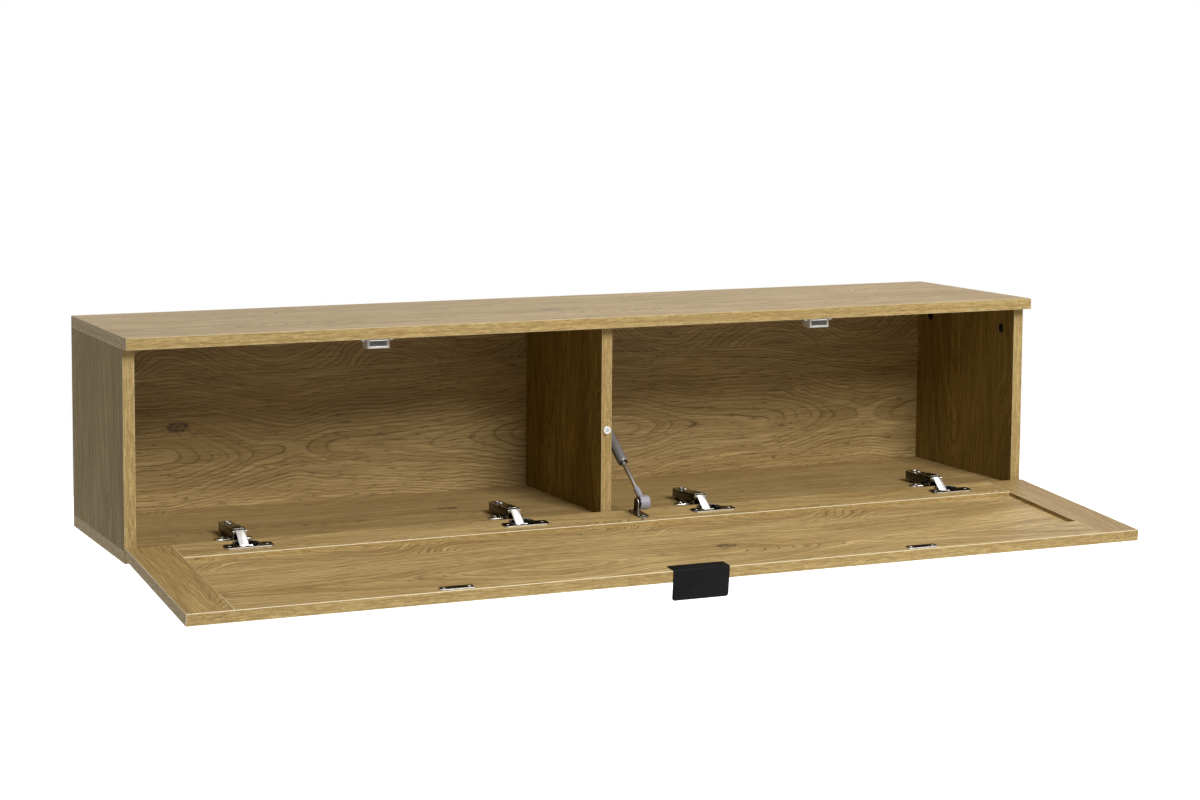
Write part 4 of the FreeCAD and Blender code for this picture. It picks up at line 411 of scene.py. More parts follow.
    def _bent(self, tree: Tree, place: Socket, amount: float) -> Socket:
        """Push positions across the grain.

        Args:
            tree: The material's tree.
            place: Position on the print.
            amount: About the furthest that one is pushed, in millimetres.

        Returns:
            The pushed position.
        """
        cloud = self._cloud(tree, place, BENDING)
        centred = add_node(tree, "ShaderNodeMath", {0: cloud, 1: 0.5}, operation="SUBTRACT")
        push = add_node(tree, "ShaderNodeVectorMath",
                        {0: (0.0, NOISE_SPAN * amount, 0.0), "Scale": centred}, operation="SCALE")
        moved = add_node(tree, "ShaderNodeVectorMath", {0: place, 1: push}, operation="ADD")
        return moved.outputs[0]

    def _ripple(self, tree: Tree, place: Socket, total: Socket,
                waves: tuple[Blots, ...]) -> Socket:
        """Add noise waves to a height.

        Args:
            tree: The material's tree.
            place: Position on the print.
            total: The height.
            waves: The noises that are added.

        Returns:
            The rippled height.
        """
        for blots in waves:
            cloud = self._cloud(tree, place, blots)
            total = add_node(tree, "ShaderNodeMath", {0: cloud, 1: blots.lift, 2: total},
                             operation="MULTIPLY_ADD").outputs[0]
        return total

    def _straight(self, tree: Tree, place: Socket) -> tuple[Socket, Socket]:
        """Lay out plain straight grain.

        Args:
            tree: The material's tree.
            place: Position on the print.

        Returns:
            Height in rings, and how bold their lines are.
        """
        parts = add_node(tree, "ShaderNodeSeparateXYZ", {0: place})
        slope = add_node(tree, "ShaderNodeMath", {0: parts.outputs[1], 1: self.ring_mm},
                         operation="DIVIDE")
        height = self._ripple(tree, place, slope.outputs[0], STRAIGHT_RIPPLE)
        return height, self._cloud(tree, place, STRAIGHT_BOLD)

    def _planks(self, tree: Tree, place: Socket) -> tuple[Socket, Socket]:
        """Lay out the two planks of a row, the wavy one above the cathedral one.

        Args:
            tree: The material's tree.
            place: Position on the row.

        Returns:
            Height in rings, and how bold their lines are.
        """
        cathedral = self._cathedral(tree, place)
        wavy = self._wavy(tree, place)
        parts = add_node(tree, "ShaderNodeSeparateXYZ", {0: place})
        above = add_node(tree, "ShaderNodeMath", {0: parts.outputs[1], 1: self.joint},
                         operation="GREATER_THAN")
        chosen = add_node(tree, "ShaderNodeMix", {"Factor": above, "A": cathedral, "B": wavy},
                          data_type="FLOAT")
        cloud = self._cloud(tree, place, PLANK_BOLD)
        bold = add_node(tree, "ShaderNodeMath", {0: above, 1: self.wavy_bold, 2: cloud},
                        operation="MULTIPLY_ADD")
        return chosen.outputs["Result"], bold.outputs[0]

    def _cathedral(self, tree: Tree, place: Socket) -> Socket:
        """Raise the cathedral figure: a crest along the heart that falls off to both sides.

        Args:
            tree: The material's tree.
            place: Position on the row.

        Returns:
            Height in rings.
        """
        bent = self._bent(tree, place, self.ring_bend)
        parts = add_node(tree, "ShaderNodeSeparateXYZ", {0: bent})
        begun = add_node(tree, "ShaderNodeMath", {0: parts.outputs[0], 1: self.crest_start},
                         operation="SUBTRACT")
        turns = add_node(tree, "ShaderNodeMath", {0: begun, 1: self.repeat_mm}, operation="DIVIDE")
        share = add_node(tree, "ShaderNodeMath", {0: turns}, operation="FRACT")
        crest = add_node(tree, "ShaderNodeValToRGB", {"Fac": share})
        crest.color_ramp.interpolation = "CARDINAL"
        set_ramp(crest, CREST)
        offset = add_node(tree, "ShaderNodeMath", {0: parts.outputs[1], 1: self.heart},
                          operation="SUBTRACT")
        tips = add_node(tree, "ShaderNodeMath", {0: offset, 1: self.tip_mm}, operation="DIVIDE")
        squared = add_node(tree, "ShaderNodeMath", {0: tips, 1: tips, 2: 1.0},
                           operation="MULTIPLY_ADD")
        rooted = add_node(tree, "ShaderNodeMath", {0: squared}, operation="SQRT")
        crowded = add_node(tree, "ShaderNodeMath", {0: rooted, 1: self.crowding},
                           operation="POWER")
        fall = add_node(tree, "ShaderNodeMath", {0: crowded, 1: self.tip_mm / self.ring_mm},
                        operation="MULTIPLY")
        rise = add_node(tree, "ShaderNodeMath", {0: crest, 1: self.crest_lines},
                        operation="MULTIPLY")
        rings = add_node(tree, "ShaderNodeMath", {0: rise, 1: fall}, operation="SUBTRACT")
        total = self._ripple(tree, place, rings.outputs[0], CATHEDRAL_RIPPLE)
        for knot in KNOTS:
            near = self._nearness(tree, place, knot, KNOT_SWELL)
            total = add_node(tree, "ShaderNodeMath", {0: near, 1: knot.lines, 2: total},
                             operation="MULTIPLY_ADD").outputs[0]
        return total

    def _wavy(self, tree: Tree, place: Socket) -> Socket:
        """Slope the wavy plank, whose rings swing in leaning waves.

        Args:
            tree: The material's tree.
            place: Position on the row.

        Returns:
            Height in rings.
        """
        parts = add_node(tree, "ShaderNodeSeparateXYZ", {0: place})
        slope = add_node(tree, "ShaderNodeMath", {0: parts.outputs[1], 1: self.wavy_mm},
                         operation="DIVIDE")
        leant = add_node(tree, "ShaderNodeMath",
                         {0: parts.outputs[1], 1: self.wave_lean, 2: parts.outputs[0]},
                         operation="MULTIPLY_ADD")
        swaying = self._ripple(tree, place, leant.outputs[0], (WAVE_SWAY,))
        begun = add_node(tree, "ShaderNodeMath",
                         {0: swaying, 1: self.wave_start + WAVE_SWAY.lift / 2},
                         operation="SUBTRACT")
        turn = add_node(tree, "ShaderNodeMath", {0: begun, 1: self.wave_mm / math.tau},
                        operation="DIVIDE")
        wave = add_node(tree, "ShaderNodeMath", {0: turn}, operation="SINE")
        chevrons = add_node(tree, "ShaderNodeMath", {0: wave, 1: self.wave_lines, 2: slope},
                            operation="MULTIPLY_ADD")
        return self._ripple(tree, place, chevrons.outputs[0], WAVY_RIPPLE)

    def _nearness(self, tree: Tree, place: Socket, knot: Knot, reach: float) -> Socket:
        """Raise a bell curve about a knot and its repeats.

        Args:
            tree: The material's tree.
            place: Position on the row.
            knot: The knot.
            reach: The curve's width, in sizes of the knot.

        Returns:
            1 in the knot's middle, and 0 far from it.
        """
        offset = add_node(tree, "ShaderNodeVectorMath",
                          {0: place, 1: (knot.along, knot.across, 0.0)}, operation="SUBTRACT")
        half = self.repeat_mm / 2 if knot.repeats else FAR_MM
        folded = add_node(tree, "ShaderNodeVectorMath", {
            0: offset, 1: (half, FAR_MM, FAR_MM), 2: (-half, -FAR_MM, -FAR_MM),
        }, operation="WRAP")
        scaled = add_node(tree, "ShaderNodeVectorMath", {
            0: folded, 1: (1 / (knot.length * reach), 1 / (knot.width * reach), 0.0),
        }, operation="MULTIPLY")
        squared = add_node(tree, "ShaderNodeVectorMath", {0: scaled, 1: scaled},
                           operation="DOT_PRODUCT")
        falling = add_node(tree, "ShaderNodeMath", {0: squared.outputs["Value"], 1: -1.0},
                           operation="MULTIPLY")
        return add_node(tree, "ShaderNodeMath", {0: falling}, operation="EXPONENT").outputs[0]

    def _knot_mask(self, tree: Tree, place: Socket, knot: Knot) -> Socket:
        """Draw a knot's dark ragged rim round its paler middle.

        Args:
            tree: The material's tree.
            place: Position on the row.
            knot: The knot.

        Returns:
            How dark the knot is.
        """
        near = self._nearness(tree, place, knot, KNOT_CORE)
        ragged = self._ripple(tree, place, near, (KNOT_RAGS,))
        level = add_node(tree, "ShaderNodeMath", {0: ragged, 1: KNOT_RAGS.lift / 2},
                         operation="SUBTRACT")
        rim = add_node(tree, "ShaderNodeValToRGB", {"Fac": level})
        set_ramp(rim, KNOT_RIM)
        return rim.outputs[0]

    def _lines(self, tree: Tree, height: Socket, bold: Socket) -> Socket:
        """Draw the growth lines, of which some fade out.

        Args:
            tree: The material's tree.
            height: Height in rings.
            bold: How bold the lines are.

        Returns:
            How dark the lines are.
        """
        turn = add_node(tree, "ShaderNodeMath", {0: height}, operation="FRACT")
        ramp = add_node(tree, "ShaderNodeValToRGB", {"Fac": turn})
        set_ramp(ramp, RING_LINE)
        strength = add_node(tree, "ShaderNodeValToRGB", {"Fac": bold})
        set_ramp(strength, LINE_STRENGTH)
        both = add_node(tree, "ShaderNodeMath", {0: ramp, 1: strength}, operation="MULTIPLY")
        return both.outputs[0]

    def _streaks(self, tree: Tree, place: Socket, blots: Blots, stops: Stops) -> Socket:
        """Draw fine streaks along the grain.

        Args:
            tree: The material's tree.
            place: Position on the print.
            blots: Size of the streaks.
            stops: The ramp that cuts them to their contrast.

        Returns:
            How dark the streaks are.
        """
        ramp = add_node(tree, "ShaderNodeValToRGB", {"Fac": self._cloud(tree, place, blots)})
        set_ramp(ramp, stops)
        return ramp.outputs[0]

    def _colour(self, tree: Tree, place: Socket, height: Socket, lines: Socket,
                fibres: Socket, pores: Socket) -> Socket:
        """Blend the browns: rings of unlike tone, then fibres, lines, pores and knots.

        Args:
            tree: The material's tree.
            place: Position on the print.
            height: Height in rings.
            lines: How dark the growth lines are.
            fibres: How dark the fibres are.
            pores: How dark the pores are.

        Returns:
            The colour.
        """
        rings = add_node(tree, "ShaderNodeTexNoise",
                         {"W": height, "Scale": TONES_PER_RING, "Detail": 1.0},
                         noise_dimensions="1D")
        patches = self._cloud(tree, place, PATCHES)
        tones = add_node(tree, "ShaderNodeMath", {0: rings.outputs["Fac"], 1: patches},
                         operation="ADD")
        lowered = add_node(tree, "ShaderNodeMath", {0: tones, 1: TONE_FLOOR},
                           operation="SUBTRACT")
        tone = add_node(tree, "ShaderNodeValToRGB", {"Fac": lowered})
        set_ramp(tone, ((TONE_CUT[0], 0.0), (TONE_CUT[1], self.tone_depth)))
        base = add_node(tree, "ShaderNodeMix", {
            "Factor": tone, "A": linear(self.pale), "B": linear(self.brown),
        }, data_type="RGBA")
        colour = base.outputs["Result"]
        layers = [(fibres, self.fibre_depth, self.brown), (lines, self.line_depth, self.line),
                  (pores, self.pore_depth, self.line)]
        if self.figure is Figure.PLANKS:
            layers += [(self._knot_mask(tree, place, knot), knot.dark, self.knot)
                       for knot in KNOTS]
        for mask, depth, dark in layers:
            amount = add_node(tree, "ShaderNodeMath", {0: mask, 1: depth}, operation="MULTIPLY")
            mixed = add_node(tree, "ShaderNodeMix", {
                "Factor": amount, "A": colour, "B": linear(dark),
            }, data_type="RGBA")
            colour = mixed.outputs["Result"]
        return colour

    def _surface(self, tree: Tree, colour: Socket, fibres: Socket, pores: Socket) -> None:
        """Finish the tree with satin lacquer over embossed pores.

        Args:
            tree: The material's tree.
            colour: The print's colour.
            fibres: How dark the fibres are.
            pores: How dark the pores are.
        """
        dull = add_node(tree, "ShaderNodeMath", {0: fibres, 1: self.fibre_dull, 2: self.roughness},
                        operation="MULTIPLY_ADD")
        sunk = add_node(tree, "ShaderNodeMath", {0: pores, 1: -1.0}, operation="MULTIPLY")
        bump = add_node(tree, "ShaderNodeBump", {
            "Height": sunk, "Strength": self.emboss, "Distance": self.emboss_mm * MM,
        })
        shader = add_node(tree, "ShaderNodeBsdfPrincipled", {
            "Base Color": colour, "Roughness": dull, "Normal": bump, "IOR": self.ior,
        })
        add_node(tree, "ShaderNodeOutputMaterial", {"Surface": shader})


def edge_band(name: str, grain: Way, across: Way, seed: float) -> OakFoil:
    """Describe ABS edge banding with a straight oak print.

    Args:
        name: The finish's name.
        grain: The axis that the band runs along.
        across: The axis across the band's width.
        seed: Shift of the print, in millimetres.

    Returns:
        The finish.
    """
    return OakFoil(name, grain, across, Figure.STRAIGHT, pale="#C4AB74", brown="#8C6F3F",
                   line="#5A431F", ring_mm=5.0, line_depth=0.30, tone_depth=0.36, fibre_long=15.0,
                   fibre_mm=1.8, fibre_depth=0.66, pore_mm=1.5, pore_depth=0.62, roughness=0.44,
                   ior=1.25, seed=seed)


# ---------------------------------------------------------------- other finishes

MOTTLE_CUT = (0.35, 0.68)       # noise from which the second colour begins, and is full
MOTTLE_DULL = 0.14              # blots of the second colour are this much duller
RELIEF_DEEP_MM = 0.1


@dataclass(frozen=True)
class Finish:
    """A metal, plastic or raw board finish with a mottle in its colour and a fine relief.

    The mottle is what handling, plating or chips leave on the real surface.
    """

    name: str
    colour: str
    second: str                 # colour of the mottle
    metallic: float
    roughness: float
    mottle_mm: float            # size of the mottle's blots
    mottle: float = 0.35        # how much of the second colour shows
    relief_mm: float = 1.2      # grain of the relief
    relief: float = 0.08        # strength of the relief
    ior: float = 1.5            # metals keep the shader's own
    coat: float = 0.0
    coat_roughness: float = 0.1

    def material(self) -> Material:
        """Build the material.

        Returns:
            The finished metal, plastic or board.
        """
        material, tree = new_material(self.name)
        spot = add_node(tree, "ShaderNodeTexCoord").outputs["Object"]
        blots = add_node(tree, "ShaderNodeTexNoise", {
            "Vector": spot, "Scale": 1 / (self.mottle_mm * MM), "Detail": 3.0,
        })
        ramp = add_node(tree, "ShaderNodeValToRGB", {"Fac": blots.outputs["Fac"]})
        set_ramp(ramp, ((MOTTLE_CUT[0], 0.0), (MOTTLE_CUT[1], self.mottle)))
        colour = add_node(tree, "ShaderNodeMix", {
            "Factor": ramp, "A": linear(self.colour), "B": linear(self.second),
        }, data_type="RGBA")
        dull = add_node(tree, "ShaderNodeMath", {0: ramp, 1: MOTTLE_DULL, 2: self.roughness},
                        operation="MULTIPLY_ADD")
        fine = add_node(tree, "ShaderNodeTexNoise", {
            "Vector": spot, "Scale": 1 / (self.relief_mm * MM), "Detail": 2.0,
        })
        bump = add_node(tree, "ShaderNodeBump", {
            "Height": fine.outputs["Fac"], "Strength": self.relief,
            "Distance": RELIEF_DEEP_MM * MM,
        })
        feeds = {
            "Base Color": colour.outputs["Result"], "Roughness": dull,
            "Metallic": self.metallic, "Normal": bump,
        }
        if not self.metallic:
            feeds["IOR"] = self.ior
        if self.coat:
            feeds["Coat Weight"] = self.coat
            feeds["Coat Roughness"] = self.coat_roughness
        shader = add_node(tree, "ShaderNodeBsdfPrincipled", feeds)
        add_node(tree, "ShaderNodeOutputMaterial", {"Surface": shader})
        return material


@cache
def shared(finish: Finish | OakFoil) -> Material:
    """One material per finish, however many pieces wear it."""
    return finish.material()


# Nickel plating on pressed steel, with the faint waviness of the press; its colour is darkened to
# near black: painted shade and painted dark reflections.
NICKEL_PAINTED_DARK = Finish("nickel_plated_steel_painted_dark", "#38342D", "#211E19", 1.0, 0.13, 9.0, relief_mm=4.0,
                relief=0.05)
# The same plating, at a bright colour near its own, on the smooth outer strap, the pins and the
# screw heads.
NICKEL_BRIGHT = Finish("nickel_plated_bright", "#DEDBD5", "#B7B2A9", 1.0, 0.20, 9.0,
                       relief_mm=4.0, relief=0.04)
# Rounded arrises in a near-white copy of the plating: a painted highlight along the edges.
NICKEL_EDGE_HIGHLIGHT = Finish("nickel_edge_painted_highlight", "#F1EFEA", "#D6D2CA", 1.0, 0.26, 6.0, relief=0.02)
# Zinc plating on rolled steel: duller and bluer than nickel.
ZINC = Finish("zinc_plated_steel", "#B9BCBE", "#8E9294", 1.0, 0.34, 14.0, relief_mm=1.5,
              relief=0.10)
# Hard chrome on a ground rod: clean, with a soft sheen along the rod.
CHROME = Finish("hard_chromed_rod", "#F0F0F2", "#D8D8DC", 1.0, 0.28, 20.0, mottle=0.2,
                relief_mm=6.0, relief=0.01)
# Semi-gloss paint on drawn tube, under a thin clear coat.
TUBE_PAINT = Finish("painted_tube_grey", "#75706F", "#6A6565", 0.0, 0.32, 16.0, coat=0.3)
# Acetal, moulded: grey and slightly waxy.
ACETAL = Finish("acetal_grey", "#9A98A0", "#8B8991", 0.0, 0.34, 6.0, ior=1.48, relief=0.06)
# Black acetal of the guide ring and piston.
ACETAL_BLACK = Finish("acetal_black", "#151515", "#202020", 0.0, 0.40, 6.0, ior=1.48)
# ABS, moulded light grey, of the catch housings.
ABS_GREY = Finish("abs_light_grey", "#DCDAD7", "#C8C6C3", 0.0, 0.42, 8.0, ior=1.53)
# Nylon, moulded white, of the door bumper.
NYLON_WHITE = Finish("nylon_white", "#E9E8E2", "#D6D4CC", 0.0, 0.36, 6.0, ior=1.53)
# Fine-textured black powder coat on folded steel: dull, with hardly a shine.
POWDER_BLACK = Finish("powder_coat_black", "#080809", "#161617", 0.0, 0.58, 2.5, relief_mm=0.6,
                      relief=0.22, ior=1.2)
# The cam locks: die-cast zinc, coloured near black.
CAST_ZINC = Finish("die_cast_zinc_dark", "#1B1A19", "#2A2826", 0.6, 0.46, 4.0, relief=0.15)
# Ferrite magnet: dull charcoal grey.
FERRITE = Finish("ferrite_magnet", "#77787A", "#5E5F61", 0.0, 0.62, 3.0, relief=0.14)
# Cut edge of particle board: chips in two straw browns.
CHIPBOARD = Finish("particle_board_sawn", "#B59A70", "#8A6E45", 0.0, 0.85, 3.0, mottle=0.8,
                   relief_mm=1.6, relief=0.45)
# Raw rear face of the thin back panel: pressed fibre board.
HARDBOARD = Finish("fibre_board_raw", "#8C7352", "#7A6345", 0.0, 0.80, 5.0, relief=0.25)
# Scraped arris of the edge banding, paler than its face: partly the scraped band's own pale, partly
# a painted highlight.
ARRIS = Finish("edge_band_arris_and_highlight", "#C8B68B", "#B4A072", 0.0, 0.45, 6.0)
# The flap's arrises are scraped wider, and their colour is paler still: a painted highlight.
ARRIS_WIDE_HIGHLIGHT = Finish("edge_band_arris_wide_highlight", "#DCCDA8", "#C9B78D", 0.0, 0.45, 6.0)
# Beech, turned and fluted: pinkish straw.
BEECH = Finish("beech_dowel", "#C9A477", "#B58D5E", 0.0, 0.60, 5.0, relief=0.2)
# Planed softwood batten: yellow, with wide soft rings.
PINE = OakFoil("pine_planed", Way.X, Way.Z, Figure.STRAIGHT, pale="#D3B27C", brown="#B98F57",
               line="#8F6632", ring_mm=9.0, pore_depth=0.0, roughness=0.62, seed=300.0)


# ---------------------------------------------------------------- boards

class Layer(IntEnum):
    """What a face of a board wears, and that material's place on the board."""

    FOIL = 0
    BAND = 1
    END_BAND = 2
    ARRIS = 3
    CORE = 4
    REAR = 5


@dataclass(frozen=True)
class Bore:
    """A round hole in a board, in millimetres: mouth centre, radius, the way it goes in, depth."""

    mouth: Point
    radius: float
    into: Point
    depth: float

    def cutter(self) -> bpy.types.Object:
        """Make the cylinder that cuts this hole.

        Returns:
            The cylinder.
        """
        mesh = bpy.data.meshes.new("bore_cutter")
        shape = bmesh.new()
        radius = self.radius * MM
        bmesh.ops.create_cone(shape, cap_ends=True, segments=BORE_SIDES, radius1=radius,
                              radius2=radius, depth=(self.depth + BORE_SPARE_MM) * MM)
        way = Vector(self.into)
        centre = Vector(self.mouth) + way * (self.depth - BORE_SPARE_MM) / 2
        turn = Vector((0, 0, 1)).rotation_difference(way).to_matrix().to_4x4()
        shape.transform(Matrix.Translation(centre * MM) @ turn)
        shape.to_mesh(mesh)
        shape.free()
        return add_object("bore_cutter", mesh)


@dataclass
class Board:
    """A flat board: foil on its two faces, edge banding with pale arrises, some raw edges."""

    node: str
    low: Point
    high: Point
    foil: OakFoil
    body: str
    slot: str
    bores: tuple[Bore, ...] = ()
    raw: tuple[tuple[Way, int], ...] = ()       # sides without a band, with the core in view
    butted: tuple[tuple[Way, int], ...] = ()    # sides that butt against a neighbour
    rear: Finish | None = None
    trim: Finish = ARRIS
    arris: float = 0.5
    end_slip: float = 70.0      # the end bands show another stretch of the print
    place: Matrix = field(default_factory=lambda: Matrix.Identity(4))

    @property
    def name(self) -> str:
        """The piece's own name."""
        return f"{self.node}_board"

    def build(self) -> None:
        """Make the board, cut its bores and let it stand for its node."""
        piece = add_object(self.name, self._mesh())
        for bore in self.bores:
            self._cut(piece, bore)
        self._dress(piece)
        piece.matrix_world = self.place
        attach(piece, self.body)
        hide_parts(self.node)
        LOG.info("built %s", self.name)

    def _thin(self) -> Way:
        """The axis through the board's thickness."""
        return next(way for way in Way if way not in (self.foil.grain, self.foil.across))

    def _mesh(self) -> bpy.types.Mesh:
        """Make a box with bevelled arrises, apart from the short ones that a neighbour covers.

        Returns:
            The mesh.
        """
        mesh = bpy.data.meshes.new(self.name)
        shape = bmesh.new()
        bmesh.ops.create_cube(shape, size=1.0)
        low, high = Vector(self.low) * MM, Vector(self.high) * MM
        size = Matrix.Diagonal((*(high - low), 1.0))
        shape.transform(Matrix.Translation((low + high) / 2) @ size)
        shape.normal_update()
        edges = [edge for edge in shape.edges if not self._is_covered(edge)]
        bmesh.ops.bevel(shape, geom=edges, offset=self.arris * MM, segments=2, profile=0.5,
                        affect="EDGES")
        shape.to_mesh(mesh)
        shape.free()
        return mesh

    def _is_covered(self, edge: bmesh.types.BMEdge) -> bool:
        """Tell whether an edge runs through the thickness beside a butted side.

        Args:
            edge: An edge of the plain box.

        Returns:
            Whether a neighbour covers it.
        """
        along = edge.verts[1].co - edge.verts[0].co
        upright = abs(along[self._thin().value]) > 0.5 * along.length
        return upright and any(face.normal[side.value] * sign > 0.5
                               for face in edge.link_faces for side, sign in self.butted)

    def _cut(self, piece: bpy.types.Object, bore: Bore) -> None:
        """Cut one bore.

        Args:
            piece: The board's piece.
            bore: The bore.
        """
        cutter = bore.cutter()
        knife = piece.modifiers.new("bore", "BOOLEAN")
        knife.object = cutter
        knife.operation = "DIFFERENCE"
        knife.solver = "EXACT"
        apply_modifiers(piece)
        bpy.data.objects.remove(cutter)

    def _dress(self, piece: bpy.types.Object) -> None:
        """Give each face its foil, band, arris, raw core or rear finish.

        Args:
            piece: The board's piece.
        """
        grain, across, thin = self.foil.grain, self.foil.across, self._thin()
        seed = self.foil.seed
        worn = {
            Layer.FOIL: self.foil.material(),
            Layer.BAND: edge_band(f"{self.name}_band", grain, thin, seed).material(),
            Layer.END_BAND: edge_band(f"{self.name}_end_band", across, thin,
                                      seed + self.end_slip).material(),
            Layer.ARRIS: shared(self.trim),
            Layer.CORE: shared(CHIPBOARD),
            Layer.REAR: shared(self.rear or CHIPBOARD),
        }
        piece.data.materials.clear()
        for layer in Layer:
            piece.data.materials.append(worn[layer])
        for face in piece.data.polygons:
            face.material_index = self._layer(face)

    def _layer(self, face: bpy.types.MeshPolygon) -> Layer:
        """Tell what a face wears from the way it looks and how deep it lies.

        Args:
            face: A face of the board.

        Returns:
            Its layer.
        """
        facing = max(Way, key=lambda way: abs(face.normal[way.value]))
        axis = facing.value
        sign = 1 if face.normal[axis] > 0 else -1
        half = (self.high[axis] - self.low[axis]) * MM / 2
        offset = abs(face.center[axis] - (self.high[axis] + self.low[axis]) * MM / 2)
        at_skin = abs(offset - half) < SKIN_MM * MM
        if not at_skin and abs(face.normal[axis]) < SQUARE_ON:
            inside = offset < half - ARRIS_REACH * self.arris * MM
            return Layer.CORE if inside else Layer.ARRIS
        if not at_skin or (facing, sign) in self.raw:
            return Layer.CORE
        if facing is self._thin():
            return Layer.REAR if self.rear and sign > 0 else Layer.FOIL
        return Layer.BAND if facing is self.foil.across else Layer.END_BAND


# ---------------------------------------------------------------- fittings

def dress(node: str, finish: Finish | OakFoil) -> None:
    """Give a fitting that keeps its own shape a finish.

    Args:
        node: The node's name.
        finish: What it wears.
    """
    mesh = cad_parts[node].data
    mesh.materials.clear()
    mesh.materials.append(shared(finish))
    LOG.info("dressed %s in %s", node, finish.name)


def soften(node: str, body: str, finish: Finish, radius: float,
           edge: Finish | None = None, thin_wall: float = 0.0) -> None:
    """Stand a copy with rounded edges in a fitting's place.

    Args:
        node: The fitting's node.
        body: The body that it moves with.
        finish: What it wears.
        radius: Rounding of its edges, in millimetres.
        edge: What the rounded edges wear, if it isn't the same.
        thin_wall: Long walls lower than this wear it too, in millimetres.
    """
    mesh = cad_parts[node].data.copy()
    mesh.materials.clear()
    shape = bmesh.new()
    shape.from_mesh(mesh)
    bmesh.ops.remove_doubles(shape, verts=list(shape.verts), dist=WELD_MM * MM)
    bmesh.ops.dissolve_limit(shape, angle_limit=math.radians(FLAT_DEG), verts=list(shape.verts),
                             edges=list(shape.edges))
    for face in shape.faces:
        longest = max(side.calc_length() for side in face.edges)
        thin = face.calc_area() < longest * thin_wall * MM
        face.material_index = int(thin and longest > LONG_WALL_MM * MM)
    shape.to_mesh(mesh)
    shape.free()
    piece = add_object(f"{node}_rounded", mesh)
    rounding = piece.modifiers.new("rounding", "BEVEL")
    rounding.width = radius * MM
    rounding.segments = 2
    rounding.use_clamp_overlap = False
    rounding.limit_method = "ANGLE"
    rounding.angle_limit = math.radians(ROUND_DEG)
    piece.data.materials.append(shared(finish))
    if edge:
        piece.data.materials.append(shared(edge))
        rounding.material = 1
    apply_modifiers(piece)
    piece.data.shade_smooth()
    piece.data.set_sharp_from_angle(angle=math.radians(SHARP_DEG))
    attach(piece, body)
    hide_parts(node)
    LOG.info("rounded %s in %s", node, finish.name)


# ---------------------------------------------------------------- the console

@dataclass(frozen=True)
class Upright:
    """An upright of the case: how its print lies, and which of its faces takes the cams."""

    node: str
    cam_face: float             # where that face is along X
    cam_into: float             # and the way along X that the cams sink
    ways: tuple[float, float]
    shift: tuple[float, float]
    ior: float                  # less where it stands in the shade


@dataclass
class Case:
    """The case: top, bottom, sides, divider and back, with its fasteners and hanging rails."""

    uprights: tuple[Upright, ...] = (
        Upright("left_side_panel", -684.0, -1.0, (-1.0, 1.0), (-1570.0, 60.0), 1.17),
        Upright("centre_divider", 8.0, -1.0, (1.0, -1.0), (40.0, -230.0), 1.1),
        Upright("right_side_panel", 684.0, 1.0, (1.0, -1.0), (100.0, -252.0), 1.28),
    )
    cam_drop: float = 34.0
    cam_radius: float = 7.5
    cam_deep: float = 12.5
    fixing_rows: tuple[float, ...] = (-246.0, -54.0)            # along Y, of cams and screws
    fixing_columns: tuple[float, ...] = (-692.0, 0.0, 692.0)    # along X
    confirmat_radius: float = 5.0
    confirmat_deep: float = 3.5

    def build(self) -> None:
        """Make the boards and dress the fittings."""
        for board in self._boards():
            board.build()
        dress("cam_locks", CAST_ZINC)
        for node in ("cam_bolts", "confirmat_screws", "hook_rail_screws", "cabinet_hook_rail",
                     "wall_rail"):
            dress(node, ZINC)
        dress("wood_dowels", BEECH)
        dress("hanging_batten", PINE)

    def _boards(self) -> list[Board]:
        """Describe the six boards.

        Returns:
            The boards, ready to build.
        """
        top = OakFoil("oak_foil_top", Way.X, Way.Y, shift=(-512.0, 87.0))
        bottom = OakFoil("oak_foil_bottom", Way.X, Way.Y, shift=(-362.0, 62.0), ior=1.36)
        back = OakFoil("oak_foil_back", Way.X, Way.Z, ior=1.36)
        boards = [self._board("top_panel", top),
                  self._board("bottom_panel", bottom, self._screw_bores())]
        for upright in self.uprights:
            # The uprights wear a darker copy of the oak print: painted shade, for faces that turn
            # away from the key lamp.
            foil = OakFoil(f"oak_foil_{upright.node}", Way.Z, Way.Y, ways=upright.ways,
                           shift=upright.shift, pale="#B09654", brown="#695322", line="#443312",
                           ior=upright.ior, line_depth=0.55)
            boards.append(self._board(upright.node, foil, self._cam_bores(upright)))
        boards.append(Board("back_panel", *self._corners("back_panel"), back, "case",
                            "back_board", rear=HARDBOARD))
        return boards

    def _board(self, node: str, foil: OakFoil, bores: tuple[Bore, ...] = ()) -> Board:
        """A board of the case in its node's place, with a raw rear edge."""
        return Board(node, *self._corners(node), foil, "case", "case_board", bores,
                     raw=((Way.Y, 1),))

    @staticmethod
    def _corners(node: str) -> tuple[Point, Point]:
        """A node's corners in millimetres."""
        low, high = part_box(node)
        return tuple(value / MM for value in low), tuple(value / MM for value in high)

    def _cam_bores(self, upright: Upright) -> tuple[Bore, ...]:
        """Place the two cam bores of an upright.

        Args:
            upright: The upright.

        Returns:
            Its bores.
        """
        height = self._corners(upright.node)[1][2] - self.cam_drop
        return tuple(Bore((upright.cam_face, row, height), self.cam_radius,
                          (upright.cam_into, 0.0, 0.0), self.cam_deep)
                     for row in self.fixing_rows)

    def _screw_bores(self) -> tuple[Bore, ...]:
        """Place the six screw-head bores of the bottom board.

        Returns:
            The bores.
        """
        underside = self._corners("bottom_panel")[0][2]
        return tuple(Bore((column, row, underside), self.confirmat_radius, (0.0, 0.0, 1.0),
                          self.confirmat_deep)
                     for column in self.fixing_columns for row in self.fixing_rows)


